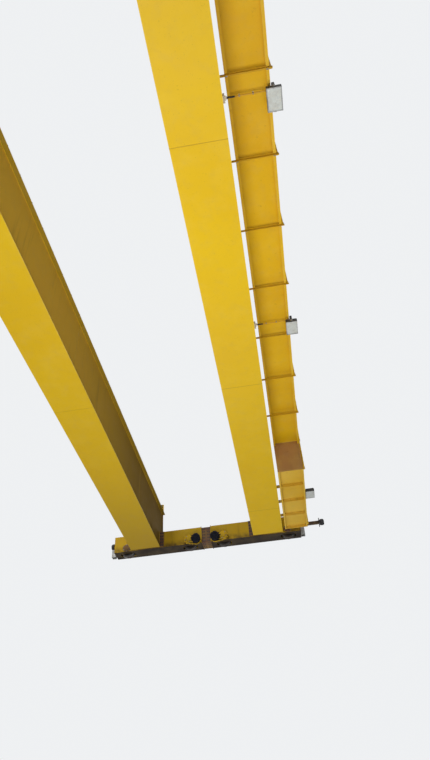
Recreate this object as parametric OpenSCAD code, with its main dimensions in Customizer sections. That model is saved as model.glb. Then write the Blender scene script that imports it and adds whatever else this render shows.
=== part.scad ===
// Overhead bridge crane: the travelling bridge with its end carriages, drives and walkway.
// Millimetres. X runs along the runway, Y along the span, Z up.
// X = 0 is midway between the buffer faces, Y = 0 is mid span, Z = 0 is under the wheel flanges.
// Most modules draw one side only, as the right girder at the far end, and are mirrored.

/* [Bridge] */
// Distance between the two runway rails, centre to centre
rail_span = 24000; // [22000:100:26000]
// Distance between the two girders, centre to centre
girder_gauge = 4115; // [3800:5:4500]
// Pitch of the diaphragms and walkway brackets
bay = 1500; // [1300:50:1600]

/* [Box girders] */
// Width of the bottom flange
flange_w = 980; // [900:5:1020]
// Depth over both flanges
girder_h = 1460; // [1300:10:1700]
// Height of the bottom flange above the lowest point of the wheels
girder_z = 120; // [105:5:150]
// Thickness of the flanges
flange_t = 16; // [12:1:25]
// Thickness of the webs
web_t = 8; // [6:1:14]
// How far the flanges stand out past the webs
flange_lip = 30; // [20:1:50]
// How much further the top flange stands out over the hoist gap
rail_lip = 70; // [40:5:120]
// Thickness of the diaphragms inside
diaphragm_t = 8; // [6:1:12]
// Thickness of the end and seat plates
end_t = 20; // [14:1:30]
// How far the girder's nose reaches over the carriage
nose_l = 450; // [350:10:480]
// Width of the joint plate that shows beside the girder's end
joint_lip = 130; // [80:5:180]

/* [Crab rails] */
// Height of the crab rail
crab_rail_h = 65; // [50:1:90]
// Width of its head
crab_head_w = 55; // [45:1:70]
// Width of its foot
crab_foot_w = 120; // [100:5:140]
// Distance from the girder's nose to the back of the crab stop
stop_inset = 160; // [60:10:400]
// Height of the crab stops
stop_h = 300; // [220:10:400]

/* [End carriages] */
// Width of the carriage box
carriage_w = 500; // [460:10:560]
// Height of the carriage box
carriage_h = 560; // [520:10:640]
// Height of the box above the lowest point of the wheels
carriage_z = 100; // [80:5:110]
// Thickness of its side plates
side_t = 10; // [8:1:16]
// Thickness of its top and bottom plates
cover_t = 14; // [10:1:20]
// Thickness of its end plates and joint flanges
head_t = 20; // [14:1:26]
// Half length of a carriage, from the bridge's middle to its end plate
carriage_l = 3130; // [3060:10:3300]
// Width of the splice between the two halves of a carriage
splice_w = 300; // [200:10:340]
// Thickness of the splice plates
splice_t = 12; // [8:1:16]

/* [Wheels] */
// Diameter of the wheel tread
tread_d = 400; // [360:5:430]
// Height of the wheel flanges above the tread
wheel_lip = 25; // [15:1:30]
// Width of the tread
tread_w = 90; // [70:1:110]
// Thickness of each wheel flange
wheel_flange_t = 25; // [18:1:32]
// Diameter of the axles
axle_d = 90; // [70:1:100]
// Distance of the driven wheels from the bridge's middle
drive_wheel_x = 575; // [560:5:620]
// Distance of the idle wheels from the carriage's end plate
idle_inset = 420; // [350:5:450]
// Running clearance round the axles
run_gap = 0.3; // [0.1:0.05:0.5]

/* [Bearings and drives] */
// Diameter of the bearing flanges
bearing_d = 250; // [220:5:270]
// How far a bearing stands out from the carriage
bearing_h = 35; // [30:1:45]
// Thickness of the gear case
gear_t = 80; // [70:1:100]
// Distance of the motor towards the middle, from the driven axle
motor_dx = 260; // [250:5:290]
// Height of the motor's cowl above the lowest point of the wheels
motor_clear = 10; // [5:1:40]
// Diameter of the motor's fan cowl
cowl_d = 300; // [280:5:340]
// Length of the motor with its cowl
motor_l = 180; // [170:5:240]
// Number of cooling fins on a motor
fin_n = 32; // [20:4:40]

/* [Buffers and rail guards] */
// Length of a buffer with its base plate
buffer_l = 170; // [140:5:220]
// Diameter of the rubber
buffer_d = 210; // [160:5:240]
// Height of the buffers' centre line
buffer_z = 440; // [400:5:500]
// Length of the arm that carries the buffers on the walkway's side
arm_l = 640; // [500:10:800]
// Side of the arm's square tube
arm_w = 90; // [70:5:120]
// Length of the rail guards
guard_l = 130; // [90:5:180]
// Height of the rail guards
guard_h = 270; // [200:5:280]
// Height of the rail guards above the lowest point of the wheels
guard_z = 40; // [30:1:60]

/* [Walkway] */
// Gap between the girder's flange and the walkway
walk_gap = 85; // [70:5:160]
// Width of the walkway
walk_w = 740; // [600:10:900]
// Height of the walkway's edge channels above the girder's underside
walk_rise = 920; // [860:10:1100]
// Number of bays of the raised walkway
walk_bays = 11; // [9:2:13]
// Height of the lowered landings above the girder's bottom flange
landing_rise = 4; // [2:1:40]
// Depth of the edge channels
channel_h = 100; // [80:5:140]
// Width of their flanges
channel_w = 50; // [40:1:65]
// Thickness of the channels
channel_t = 7; // [5:0.5:10]
// Thickness of the floor plates
floor_t = 6; // [4:0.5:8]
// Side of the bracket angles
bracket_h = 55; // [50:5:100]
// Thickness of the bracket angles
bracket_t = 8; // [6:1:12]
// How far the brackets stand out past the walkway
bracket_out = 55; // [50:5:100]
// Gap between a landing's end and the carriage
landing_gap = 130; // [100:5:200]

/* [Handrail] */
// Height of the handrail above the floor
rail_h = 1100; // [1000:10:1200]
// Side of the square posts
post_w = 40; // [36:1:50]
// Diameter of the rails
rail_d = 34; // [26:1:36]
// Height of the toe board above the floor
toe_h = 100; // [80:5:150]
// Thickness of the toe board
toe_t = 6; // [4:0.5:8]

/* [Floodlights] */
// Width of a lamp, across the walkway
lamp_w = 260; // [220:5:300]
// Length of a lamp, along the walkway
lamp_l = 400; // [340:5:440]
// Depth of a lamp's housing
lamp_h = 110; // [90:5:120]
// Gap between the edge channel and the housing of a hanging lamp
lamp_drop = 90; // [85:5:140]
// How far the middle of a hanging lamp lies outside the walkway
lamp_out = 35; // [25:5:100]
// Thickness of the lamp's strap
strap_t = 8; // [6:1:10]
// Distance of the landing's lamp from the riser
landing_lamp_in = 1420; // [1000:10:1600]
// Diameter of the cable conduits
conduit_d = 26; // [20:1:32]
// Side of the junction boxes that the conduits start from
junction_w = 120; // [90:5:140]

/* [Hidden] */
mid = -arm_l / 2;
y_in = rail_span / 2 - carriage_w / 2;
y_seat = y_in - end_t;
y_nose = y_in + nose_l;
carriage_top = carriage_z + carriage_h;
girder_top = girder_z + girder_h;
z_web = girder_z + flange_t;
z_web_top = girder_top - flange_t;
flange_x = girder_gauge / 2 - flange_w / 2;
web_x = flange_x + flange_lip;
outer_web_x = flange_x + flange_w - flange_lip - web_t;
web_face = outer_web_x + web_t;

crab_x = web_x + web_t / 2;
crab_foot_t = 12;
crab_neck_w = 24;
crab_head_h = 26;
stop_t = 20;
stop_w = 180;
stop_y = y_nose - stop_inset;
pad_l = 60;
pad_d = 110;

splice_x = splice_w / 2;
joint_proud = 16;
wheel_r = tread_d / 2;
wheel_z = wheel_r + wheel_lip;
slot_gap = 20;
idle_wheel_x = carriage_l - idle_inset;
wheel_xs = [drive_wheel_x, idle_wheel_x];
spigot_d = 170;
spigot_gap = 0.4;
spigot_in = 25;
bearing_flange_t = 20;
bearing_boss_d = 180;
cap_wall = 12;
hub_d = 170;
hub_l = 200;
disc_t = 46;
rim_t = 32;

case_r = 150;
case_motor_r = 128;
case_lip = 10;
case_lip_t = 16;
hub_cap_r = 72;
hub_cap_h = 12;
motor_z = motor_clear + cowl_d / 2;
motor_flange_t = 14;
cowl_l = 70;
cowl_hole_rs = [54, 66, 88, 100];
cowl_hole_depth = 8;
fin_t = 4;
fin_tip_r = cowl_d / 2 - 10;
fin_root_r = fin_tip_r - 30;
terminal_w = 110;
terminal_h = 48;
stay_d = 44;
stay_dx = 50;
stay_dz = 60;

base_t = 16;
base_w = 220;
guard_t = 8;
guard_w = 150;

walk_x = flange_x + flange_w + walk_gap;
walk_out = walk_x + walk_w;
walk_z = girder_z + walk_rise;
floor_z = walk_z + channel_h;
riser_y = walk_bays * bay / 2;
landing_z = z_web + landing_rise;
landing_floor_z = landing_z + channel_h;
landing_end = y_in - landing_gap;
riser_t = 8;
landing_bars = 3;
rung_n = 3;
rung_d = 25;
rung_out = 150;
rung_l = 400;
bracket_ys = [for (k = [0 : walk_bays - 2]) (k - (walk_bays - 2) / 2) * bay];
diaphragm_n = floor((y_seat - bay / 2 - diaphragm_t) / bay);
diaphragm_ys = [for (k = [-diaphragm_n - 1 : diaphragm_n]) (k + 0.5) * bay];
landing_bar_ys = [for (k = [1 : landing_bars])
    riser_y + k * (landing_end - riser_y) / (landing_bars + 1)];
post_inset = 60;

// Hanging lamps: the number of the bracket that each comes before, and how far before it
lamp_brackets = [0, 4, 7];
lamp_leads = [345, 1035, 315];
lamp_ys = [for (k = [0 : len(lamp_leads) - 1]) bracket_ys[lamp_brackets[k]] - lamp_leads[k]];
lamp_x = walk_out + lamp_out;
lamp_z = walk_z - lamp_drop - lamp_h;
landing_lamp_x = walk_out + strap_t + lamp_w / 2;
landing_lamp_y = riser_y + landing_lamp_in;
landing_lamp_z = landing_z - channel_t;
glass_t = 5;
bezel_w = 14;
lamp_fin_n = 7;
lamp_fin_h = 24;
lamp_fin_pitch = (lamp_l - 2 * bezel_w - fin_t) / (lamp_fin_n - 1);
strap_w = 50;
// The conduit comes down between two fins at the lamp's near end, clear of the strap
conduit_y = -1.5 * lamp_fin_pitch;
conduit_x = lamp_x - strap_w / 2 - conduit_d;
conduit_z = walk_z - conduit_d / 2;
junction_t = 60;
junction_lid_t = 6;
junction_lid_lip = 4;
junction_face = web_face + junction_t + junction_lid_t;

$fn = 64;

yellow = [0.86, 0.64, 0.10];
shade = [0.55, 0.40, 0.16];
primer = [0.45, 0.28, 0.22];
steel = [0.36, 0.36, 0.38];
black = [0.06, 0.06, 0.08];
pale = [0.80, 0.82, 0.80];

// Where the one-sided shapes go
module right() { translate([mid, 0, 0]) children(); }
module left() { translate([mid, 0, 0]) mirror([1, 0, 0]) children(); }
module near() { mirror([0, 1, 0]) children(); }
module both_ends() {
    children();
    near() children();
}
// Turns a shape drawn along Z so that it points from the far carriage into the span
module into_span(x, y, z) { translate([x, y, z]) rotate([90, 0, 0]) children(); }
// Draws an outline in Y and Z and carries it along X
module across(x, width) {
    translate([x, 0, 0]) rotate([90, 0, 90]) linear_extrude(width) children();
}
// Draws an outline in X and Z and carries it along Y
module along(y, length) {
    translate([0, y + length, 0]) rotate([90, 0, 0]) linear_extrude(length) children();
}

// Girders
module bottom_flange() {
    translate([flange_x, -y_seat, girder_z]) cube([flange_w, 2 * y_seat, flange_t]);
}

module top_flange() {
    translate([flange_x - rail_lip, -y_nose, z_web_top])
        cube([flange_w + rail_lip, 2 * y_nose, flange_t]);
}

module web_outline() {
    nose = y_nose - end_t;
    seat = carriage_top + end_t;
    polygon([
        [-y_seat, z_web], [y_seat, z_web], [y_seat, seat], [nose, seat],
        [nose, z_web_top], [-nose, z_web_top], [-nose, seat], [-y_seat, seat]
    ]);
}

module web(x) { across(x, web_t) web_outline(); }

module end_outline() {
    nose = y_nose - end_t;
    seat = carriage_top + end_t;
    polygon([
        [y_seat, girder_z], [y_in, girder_z], [y_in, carriage_top], [y_nose, carriage_top],
        [y_nose, z_web_top], [nose, z_web_top], [nose, seat], [y_seat, seat]
    ]);
}

module end_plates() {
    both_ends() {
        across(flange_x, flange_w) end_outline();
        translate([flange_x - joint_lip, y_seat, girder_z])
            cube([joint_lip, end_t, carriage_top - girder_z]);
    }
}

module diaphragms() {
    for (y = diaphragm_ys)
        translate([web_x + web_t, y - diaphragm_t / 2, z_web])
            cube([outer_web_x - web_x - web_t, diaphragm_t, z_web_top - z_web]);
}

module crab_rail_outline() {
    foot = crab_foot_w / 2;
    neck = crab_neck_w / 2;
    head = crab_head_w / 2;
    under = crab_rail_h - crab_head_h;
    polygon([
        [-foot, 0], [foot, 0], [foot, crab_foot_t * 0.6], [neck, crab_foot_t * 1.4],
        [neck, under], [head, under + 6], [head, crab_rail_h - 5], [head - 6, crab_rail_h],
        [-head + 6, crab_rail_h], [-head, crab_rail_h - 5], [-head, under + 6], [-neck, under],
        [-neck, crab_foot_t * 1.4], [-foot, crab_foot_t * 0.6]
    ]);
}

module crab_rail() {
    length = 2 * (stop_y - stop_t);
    translate([crab_x, 0, girder_top]) along(-length / 2, length) crab_rail_outline();
}

module crab_stop() {
    translate([crab_x, stop_y, girder_top]) {
        translate([-stop_w / 2, -stop_t, 0]) cube([stop_w, stop_t, stop_h]);
        for (side = [-1, 1])
            translate([side * stop_w / 3, 0, 0])
                across(-stop_t / 4, stop_t / 2)
                    polygon([[0, 0], [stop_inset * 0.8, 0], [20, stop_h * 0.85], [0, stop_h * 0.85]]);
    }
}

module stop_pad() {
    into_span(crab_x, stop_y - stop_t, girder_top + stop_h - pad_d / 2 - 20)
        rotate_extrude()
            polygon([[0, 0], [pad_d / 2, 0], [pad_d / 2, pad_l * 0.75], [pad_d / 2 - 15, pad_l], [0, pad_l]]);
}

// End carriages
module carriage() {
    span = carriage_l - splice_x;
    difference() {
        union() {
            translate([splice_x, y_in, carriage_z]) cube([span, carriage_w, carriage_h]);
            translate([splice_x, y_in - joint_proud, carriage_z - joint_proud])
                cube([head_t, carriage_w + 2 * joint_proud, carriage_h + 2 * joint_proud]);
        }
        translate([splice_x + head_t, y_in + side_t, carriage_z + cover_t])
            cube([span - 2 * head_t, carriage_w - 2 * side_t, carriage_h - 2 * cover_t]);
        for (x = wheel_xs) {
            translate([x - wheel_z - slot_gap, rail_span / 2 - tread_w / 2 - wheel_flange_t - slot_gap,
                       carriage_z - 1])
                cube([2 * (wheel_z + slot_gap), tread_w + 2 * (wheel_flange_t + slot_gap), cover_t + 2]);
            translate([x, y_in - 1, wheel_z])
                rotate([-90, 0, 0]) cylinder(d = spigot_d, h = carriage_w + 2);
        }
    }
}

module splice() {
    depth = carriage_w - 2 * joint_proud;
    tall = carriage_h - joint_proud;
    difference() {
        translate([-splice_x, y_in + joint_proud, carriage_z]) cube([splice_w, depth, tall]);
        translate([-splice_x - 1, y_in + joint_proud + splice_t, carriage_z + splice_t])
            cube([splice_w + 2, depth - 2 * splice_t, tall - 2 * splice_t]);
    }
}

// One wheel and its axle as a single turned piece; reach is the axle's end on the span side
module wheel(x, reach) {
    half = tread_w / 2 + wheel_flange_t;
    lip = wheel_r + wheel_lip;
    slope = wheel_lip / 3;
    outer = carriage_w / 2 + bearing_h - cap_wall - 5;
    a = axle_d / 2;
    into_span(x, rail_span / 2, wheel_z)
        rotate_extrude($fn = 96)
            polygon([
                [0, -outer], [a, -outer], [a, -hub_l / 2], [hub_d / 2, -hub_l / 2],
                [hub_d / 2 + 8, -disc_t / 2], [wheel_r - rim_t - 8, -disc_t / 2],
                [wheel_r - rim_t, -half], [lip - 4, -half], [lip, -half + 4],
                [lip, -tread_w / 2 - slope], [wheel_r, -tread_w / 2],
                [wheel_r, tread_w / 2], [lip, tread_w / 2 + slope],
                [lip, half - 4], [lip - 4, half], [wheel_r - rim_t, half],
                [wheel_r - rim_t - 8, disc_t / 2], [hub_d / 2 + 8, disc_t / 2],
                [hub_d / 2, hub_l / 2], [a, hub_l / 2], [a, reach], [0, reach]
            ]);
}

module wheels() {
    wheel(drive_wheel_x, carriage_w / 2 + bearing_h + gear_t - 25);
    wheel(idle_wheel_x, carriage_w / 2 + bearing_h - cap_wall - 5);
}

// A flanged bearing, standing out along Z from the plate it is bolted to
module bearing(open) {
    bore = axle_d / 2 + run_gap;
    spigot = spigot_d / 2 - spigot_gap;
    back = -side_t - spigot_in;
    boss = bearing_boss_d / 2;
    closed_end = [[boss - 5, bearing_h], [0, bearing_h], [0, bearing_h - cap_wall],
                  [bore, bearing_h - cap_wall]];
    open_end = [[boss - 5, bearing_h], [bore, bearing_h]];
    rotate_extrude()
        polygon(concat(
            [[bore, back], [spigot, back], [spigot, 0], [bearing_d / 2, 0],
             [bearing_d / 2, bearing_flange_t - 4], [bearing_d / 2 - 4, bearing_flange_t],
             [boss, bearing_flange_t], [boss, bearing_h - 5]],
            open ? open_end : closed_end
        ));
}

module bearings() {
    into_span(drive_wheel_x, y_in, wheel_z) bearing(true);
    into_span(idle_wheel_x, y_in, wheel_z) bearing(false);
    for (x = wheel_xs)
        translate([x, y_in + carriage_w, wheel_z]) rotate([-90, 0, 0]) bearing(false);
}

// Outline of two circles and their outer tangents: the axle's end at the origin, the motor's at p
module case_outline(r, p, q) {
    d = norm(p);
    turn = atan2(p[1], p[0]);
    lean = acos((r - q) / d);
    circle(r = r, $fn = 96);
    translate(p) circle(r = q, $fn = 96);
    rotate(turn)
        polygon([
            [r * cos(lean), r * sin(lean)], [r * cos(lean), -r * sin(lean)],
            [d + q * cos(lean), -q * sin(lean)], [d + q * cos(lean), q * sin(lean)]
        ]);
}

module motor() {
    body_l = motor_l - motor_flange_t - cowl_l;
    cylinder(r = case_motor_r, h = motor_flange_t);
    translate([0, 0, motor_flange_t])
        linear_extrude(body_l) {
            circle(r = fin_root_r, $fn = 96);
            for (k = [0 : fin_n - 1])
                rotate((k + 0.5) * 360 / fin_n)
                    translate([fin_root_r - 4, -fin_t / 2])
                        square([fin_tip_r - fin_root_r + 4, fin_t]);
        }
    translate([0, 0, motor_l - cowl_l]) fan_cowl();
    translate([-terminal_w / 2, fin_root_r - 10, motor_flange_t + 6])
        cube([terminal_w, fin_tip_r - fin_root_r + terminal_h, body_l - 12]);
}

// The cowl's end is closed but for two rings that are sunk into it, as its air slots
module fan_cowl() {
    floor = cowl_l - cowl_hole_depth;
    r = cowl_d / 2;
    holes = cowl_hole_rs;
    rotate_extrude($fn = 96)
        polygon([
            [0, 0], [r, 0], [r, cowl_l * 0.7], [r - 6, cowl_l * 0.86], [r - 22, cowl_l],
            [holes[3], cowl_l], [holes[3], floor], [holes[2], floor], [holes[2], cowl_l],
            [holes[1], cowl_l], [holes[1], floor], [holes[0], floor], [holes[0], cowl_l], [0, cowl_l]
        ]);
}

// Two stays behind the case, which rest on the carriage and take up the drive's turning force
module stays(place) {
    for (side = [-1, 1])
        translate([place[0] + side * stay_dx, place[1] + stay_dz, -bearing_h])
            cylinder(d = stay_d, h = bearing_h + 1, $fn = 48);
}

// Gear case on the driven axle, with the motor beside it towards the bridge's middle
module drive() {
    place = [-motor_dx, motor_z - wheel_z];
    into_span(drive_wheel_x, y_in - bearing_h, wheel_z) {
        stays(place);
        difference() {
            union() {
                linear_extrude(gear_t) case_outline(case_r, place, case_motor_r);
                translate([0, 0, gear_t * 0.45])
                    linear_extrude(case_lip_t)
                        case_outline(case_r + case_lip, place, case_motor_r + case_lip);
                translate([0, 0, gear_t]) cylinder(r = hub_cap_r, h = hub_cap_h);
            }
            translate([0, 0, -1]) cylinder(d = axle_d + 2 * run_gap, h = gear_t - 15);
        }
        translate([place[0], place[1], gear_t]) motor();
    }
}

// Buffers, arms and rail guards
module buffer(x) {
    rubber = buffer_l - base_t;
    r = buffer_d / 2;
    translate([x, rail_span / 2, buffer_z]) {
        translate([0, -base_w / 2, -base_w / 2]) cube([base_t, base_w, base_w]);
        translate([base_t, 0, 0]) rotate([0, 90, 0])
            rotate_extrude()
                polygon([[0, 0], [r * 0.8, 0], [r * 0.86, rubber * 0.12], [r, rubber * 0.4],
                         [r * 0.97, rubber * 0.75], [r * 0.86, rubber * 0.93], [r * 0.7, rubber],
                         [0, rubber]]);
    }
}

// All the rubber of one end: two buffers and two crab stop pads
module end_buffers() {
    left() {
        buffer(carriage_l);
        stop_pad();
    }
    right() {
        buffer(carriage_l + arm_l);
        stop_pad();
    }
}

module buffer_arm() {
    difference() {
        translate([carriage_l, rail_span / 2 - arm_w / 2, buffer_z - arm_w / 2])
            cube([arm_l, arm_w, arm_w]);
        translate([carriage_l - 1, rail_span / 2 - arm_w / 2 + 6, buffer_z - arm_w / 2 + 6])
            cube([arm_l + 2, arm_w - 12, arm_w - 12]);
    }
}

module rail_guard() {
    translate([carriage_l, rail_span / 2, guard_z])
        difference() {
            translate([0, -guard_w / 2, 0]) cube([guard_l, guard_w, guard_h]);
            translate([-1, -guard_w / 2 + guard_t, -1])
                cube([guard_l - guard_t + 1, guard_w - 2 * guard_t, guard_h + 2]);
        }
}

// Walkway
module channel_outline() {
    difference() {
        square([channel_w, channel_h]);
        translate([channel_t, channel_t]) square([channel_w, channel_h - 2 * channel_t]);
    }
}

module inner_channel(z, y, length) {
    along(y, length) translate([walk_x, z]) channel_outline();
}

module outer_channel(z, y, length) {
    along(y, length) translate([walk_out, z]) mirror([1, 0]) channel_outline();
}

module walkway_floor() {
    translate([walk_x, -riser_y, floor_z]) cube([walk_w, 2 * riser_y, floor_t]);
}

module bracket_angle() {
    length = walk_out + bracket_out - web_face;
    translate([web_face, 0, walk_z])
        across(0, length)
            polygon([[0, 0], [0, -bracket_h], [bracket_t, -bracket_h], [bracket_t, -bracket_t],
                     [bracket_h * 0.75, -bracket_t], [bracket_h * 0.75, 0]]);
}

module brackets() {
    for (y = bracket_ys) translate([0, y, 0]) bracket_angle();
}

// Posts, rails and toe board from y to y + length, on posts at the given places
module railing(base, floor, y, length, posts) {
    top = floor + rail_h;
    for (p = posts)
        translate([walk_out, p, base]) cube([post_w, post_w, top - base]);
    for (z = [top - rail_d, floor + rail_h * 0.52])
        translate([walk_out + post_w / 2, y, z])
            rotate([-90, 0, 0]) cylinder(d = rail_d, h = length, $fn = 32);
    translate([walk_out, y, floor - floor_t * 2]) cube([toe_t, length, toe_h + floor_t * 2]);
}

module walkway_handrail() {
    ends = [-riser_y + post_inset, riser_y - post_inset - post_w];
    feet = [for (y = bracket_ys) y + bracket_t];
    railing(walk_z, floor_z + floor_t, -riser_y, 2 * riser_y, feet);
    for (y = ends)
        translate([walk_out, y, floor_z - channel_h / 2])
            cube([post_w, post_w, rail_h + floor_t + channel_h / 2]);
}

// Lowered landing: a tray of channels and plate, held off the girder's web by cleats
module landing() {
    start = riser_y + riser_t;
    length = landing_end - start;
    z = landing_z;
    inner_channel(z, start, length);
    outer_channel(z, start, length);
    translate([walk_x, start, landing_floor_z]) cube([walk_w, length, floor_t]);
    for (y = [landing_end - channel_t]) translate([walk_x, y, z]) cube([walk_w, channel_t, channel_h]);
    for (y = landing_bar_ys) {
        translate([walk_x, y, z + channel_t]) cube([walk_w, bracket_t, channel_h - channel_t]);
        translate([web_face, y, z]) cube([walk_x - web_face + channel_t, bracket_t, channel_h]);
    }
}

// Riser between walkway and landing, with rungs to climb it
module riser() {
    translate([walk_x, riser_y, landing_z])
        cube([walk_w, riser_t, floor_z + floor_t - landing_z]);
    pitch = (floor_z - landing_floor_z) / (rung_n + 1);
    centre = walk_x + walk_w / 2;
    for (k = [1 : rung_n])
        translate([centre, riser_y + riser_t - 1, landing_floor_z + k * pitch]) {
            for (side = [-1, 1])
                translate([side * rung_l / 2, 0, 0])
                    rotate([-90, 0, 0]) cylinder(d = rung_d, h = rung_out, $fn = 24);
            translate([-rung_l / 2 - rung_d / 2, rung_out, 0])
                rotate([0, 90, 0]) cylinder(d = rung_d, h = rung_l + rung_d, $fn = 24);
        }
}

module landing_rail() {
    start = riser_y + riser_t;
    posts = [start + post_inset, (start + landing_end) / 2, landing_end - post_inset - post_w];
    railing(landing_z + channel_h / 2, landing_floor_z + floor_t, start, landing_end - start, posts);
}

// Floodlights: a finned housing that faces down, its glass, and the strap that holds it
module lamp_housing(z) {
    difference() {
        translate([-lamp_w / 2, -lamp_l / 2, z]) cube([lamp_w, lamp_l, lamp_h - lamp_fin_h]);
        translate([-lamp_w / 2 + bezel_w, -lamp_l / 2 + bezel_w, z - 1])
            cube([lamp_w - 2 * bezel_w, lamp_l - 2 * bezel_w, glass_t + 3]);
    }
    for (k = [0 : lamp_fin_n - 1])
        translate([-lamp_w / 2 + bezel_w, -lamp_l / 2 + bezel_w + k * lamp_fin_pitch,
                   z + lamp_h - lamp_fin_h - 1])
            cube([lamp_w - 2 * bezel_w, fin_t, lamp_fin_h + 1]);
}

module lamp_glass(z) {
    translate([-lamp_w / 2 + bezel_w, -lamp_l / 2 + bezel_w, z + 2])
        cube([lamp_w - 2 * bezel_w, lamp_l - 2 * bezel_w, glass_t]);
}

// The strap runs under the channel and down both ends of the housing
module lamp_yoke(z, top) {
    reach = lamp_l / 2 + strap_t;
    foot = lamp_out + channel_w;
    for (side = [-1, 1])
        translate([-strap_w / 2, side * (reach - strap_t / 2) - strap_t / 2, z + lamp_h / 3])
            cube([strap_w, strap_t, top - z - lamp_h / 3]);
    translate([-strap_w / 2, -reach, top - strap_t]) cube([strap_w, 2 * reach, strap_t]);
    translate([-foot, -strap_w / 2, top - strap_t]) cube([foot, strap_w, strap_t]);
}

module floodlights() {
    for (y = lamp_ys)
        translate([lamp_x, y, 0]) {
            lamp_housing(lamp_z);
            lamp_yoke(lamp_z, walk_z);
        }
    translate([landing_lamp_x, landing_lamp_y, 0]) {
        lamp_housing(landing_lamp_z);
        translate([-lamp_w / 2 - strap_t, -strap_w, landing_lamp_z + 10])
            cube([strap_t, 2 * strap_w, lamp_h - lamp_fin_h - 20]);
    }
}

module floodlight_glasses() {
    for (y = lamp_ys) translate([lamp_x, y, 0]) lamp_glass(lamp_z);
    translate([landing_lamp_x, landing_lamp_y, 0]) lamp_glass(landing_lamp_z);
}

// A junction box on the girder's web, with its lid towards the walkway
module junction_box() {
    lid_w = junction_w + 2 * junction_lid_lip;
    translate([0, -junction_w / 2, -junction_w / 2]) cube([junction_t + 1, junction_w, junction_w]);
    translate([junction_t, -lid_w / 2, -lid_w / 2]) cube([junction_lid_t, lid_w, lid_w]);
}

// A straight conduit from its junction box under the channels, with a drop to the lamp
module conduit(y) {
    foot = lamp_z + lamp_h - lamp_fin_h;
    translate([0, y + conduit_y, conduit_z]) {
        translate([web_face, 0, 0]) junction_box();
        translate([junction_face - 1, 0, 0])
            rotate([0, 90, 0]) cylinder(d = conduit_d, h = conduit_x - junction_face + 1, $fn = 24);
        translate([conduit_x, 0, 0]) sphere(d = conduit_d, $fn = 24);
        translate([conduit_x, 0, foot - conduit_z])
            cylinder(d = conduit_d, h = conduit_z - foot, $fn = 24);
    }
}

module conduits() { for (y = lamp_ys) conduit(y); }

color(yellow) left() bottom_flange();  // left_bottom_flange
color(yellow) left() top_flange();  // left_top_flange
color(shade) left() web(web_x);  // left_inner_web
color(yellow) left() web(outer_web_x);  // left_outer_web
color(primer) left() diaphragms();  // left_diaphragms
color(primer) left() end_plates();  // left_end_plates
color(steel) left() crab_rail();  // left_crab_rail
color(yellow) right() bottom_flange();  // right_bottom_flange
color(yellow) right() top_flange();  // right_top_flange
color(shade) right() web(web_x);  // right_inner_web
color(yellow) right() web(outer_web_x);  // right_outer_web
color(primer) right() diaphragms();  // right_diaphragms
color(primer) right() end_plates();  // right_end_plates
color(steel) right() crab_rail();  // right_crab_rail
color(yellow) {  // crab_stops
    left() both_ends() crab_stop();
    right() both_ends() crab_stop();
}
color(yellow) near() left() carriage();  // near_left_carriage
color(yellow) near() right() carriage();  // near_right_carriage
color(yellow) left() carriage();  // far_left_carriage
color(yellow) right() carriage();  // far_right_carriage
color(primer) near() right() splice();  // near_splice
color(primer) right() splice();  // far_splice
color(steel) near() left() wheels();  // near_left_wheels
color(steel) near() right() wheels();  // near_right_wheels
color(steel) left() wheels();  // far_left_wheels
color(steel) right() wheels();  // far_right_wheels
color(primer) near() left() bearings();  // near_left_bearings
color(primer) near() right() bearings();  // near_right_bearings
color(primer) left() bearings();  // far_left_bearings
color(primer) right() bearings();  // far_right_bearings
color(black) near() left() drive();  // near_left_drive
color(black) near() right() drive();  // near_right_drive
color(black) left() drive();  // far_left_drive
color(black) right() drive();  // far_right_drive
color(black) near() end_buffers();  // near_buffers
color(black) end_buffers();  // far_buffers
color(yellow) right() both_ends() buffer_arm();  // buffer_arms
color(pale) {  // rail_guards
    left() both_ends() rail_guard();
    right() both_ends() rail_guard();
}
color(yellow) right() walkway_floor();
color(yellow) right()  // walkway_inner_channel
    inner_channel(walk_z, -riser_y, 2 * riser_y);
color(yellow) right()  // walkway_outer_channel
    outer_channel(walk_z, -riser_y, 2 * riser_y);
color(shade) right() brackets();  // walkway_brackets
color(yellow) right() walkway_handrail();
color(yellow) near() right() landing();  // near_landing
color(yellow) right() landing();  // far_landing
color(shade) near() right() riser();  // near_riser
color(shade) right() riser();  // far_riser
color(yellow) near() right() landing_rail();  // near_landing_rail
color(yellow) right() landing_rail();  // far_landing_rail
color(black) right() floodlights();
color(pale) right() floodlight_glasses();
color(steel) right() conduits();  // lamp_conduits
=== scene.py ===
import math

import bpy
import numpy as np
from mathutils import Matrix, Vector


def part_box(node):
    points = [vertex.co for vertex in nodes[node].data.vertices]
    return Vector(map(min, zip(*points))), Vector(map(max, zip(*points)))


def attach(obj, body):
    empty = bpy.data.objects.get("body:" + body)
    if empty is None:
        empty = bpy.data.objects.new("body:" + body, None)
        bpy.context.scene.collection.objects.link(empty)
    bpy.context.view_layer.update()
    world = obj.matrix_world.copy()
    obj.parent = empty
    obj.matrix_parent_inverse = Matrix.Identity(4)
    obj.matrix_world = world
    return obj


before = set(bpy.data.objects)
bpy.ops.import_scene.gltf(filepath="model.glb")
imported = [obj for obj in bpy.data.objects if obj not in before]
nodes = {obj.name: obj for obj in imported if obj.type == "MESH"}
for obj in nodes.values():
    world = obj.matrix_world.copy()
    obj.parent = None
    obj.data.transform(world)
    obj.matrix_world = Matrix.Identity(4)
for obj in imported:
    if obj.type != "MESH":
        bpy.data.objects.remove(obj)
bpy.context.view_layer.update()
print("frame loaded:", len(nodes), "nodes")

scene = bpy.context.scene
scene.view_settings.view_transform = "Standard"

sides = {"left": -1.0, "right": 1.0}                  # which way along X
ends = {"near": -1.0, "far": 1.0}                     # which way along Y
reading = {"digits": 4, "slack": 0.001}               # places are told apart to 0.1 mm and found within 1 mm

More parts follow.
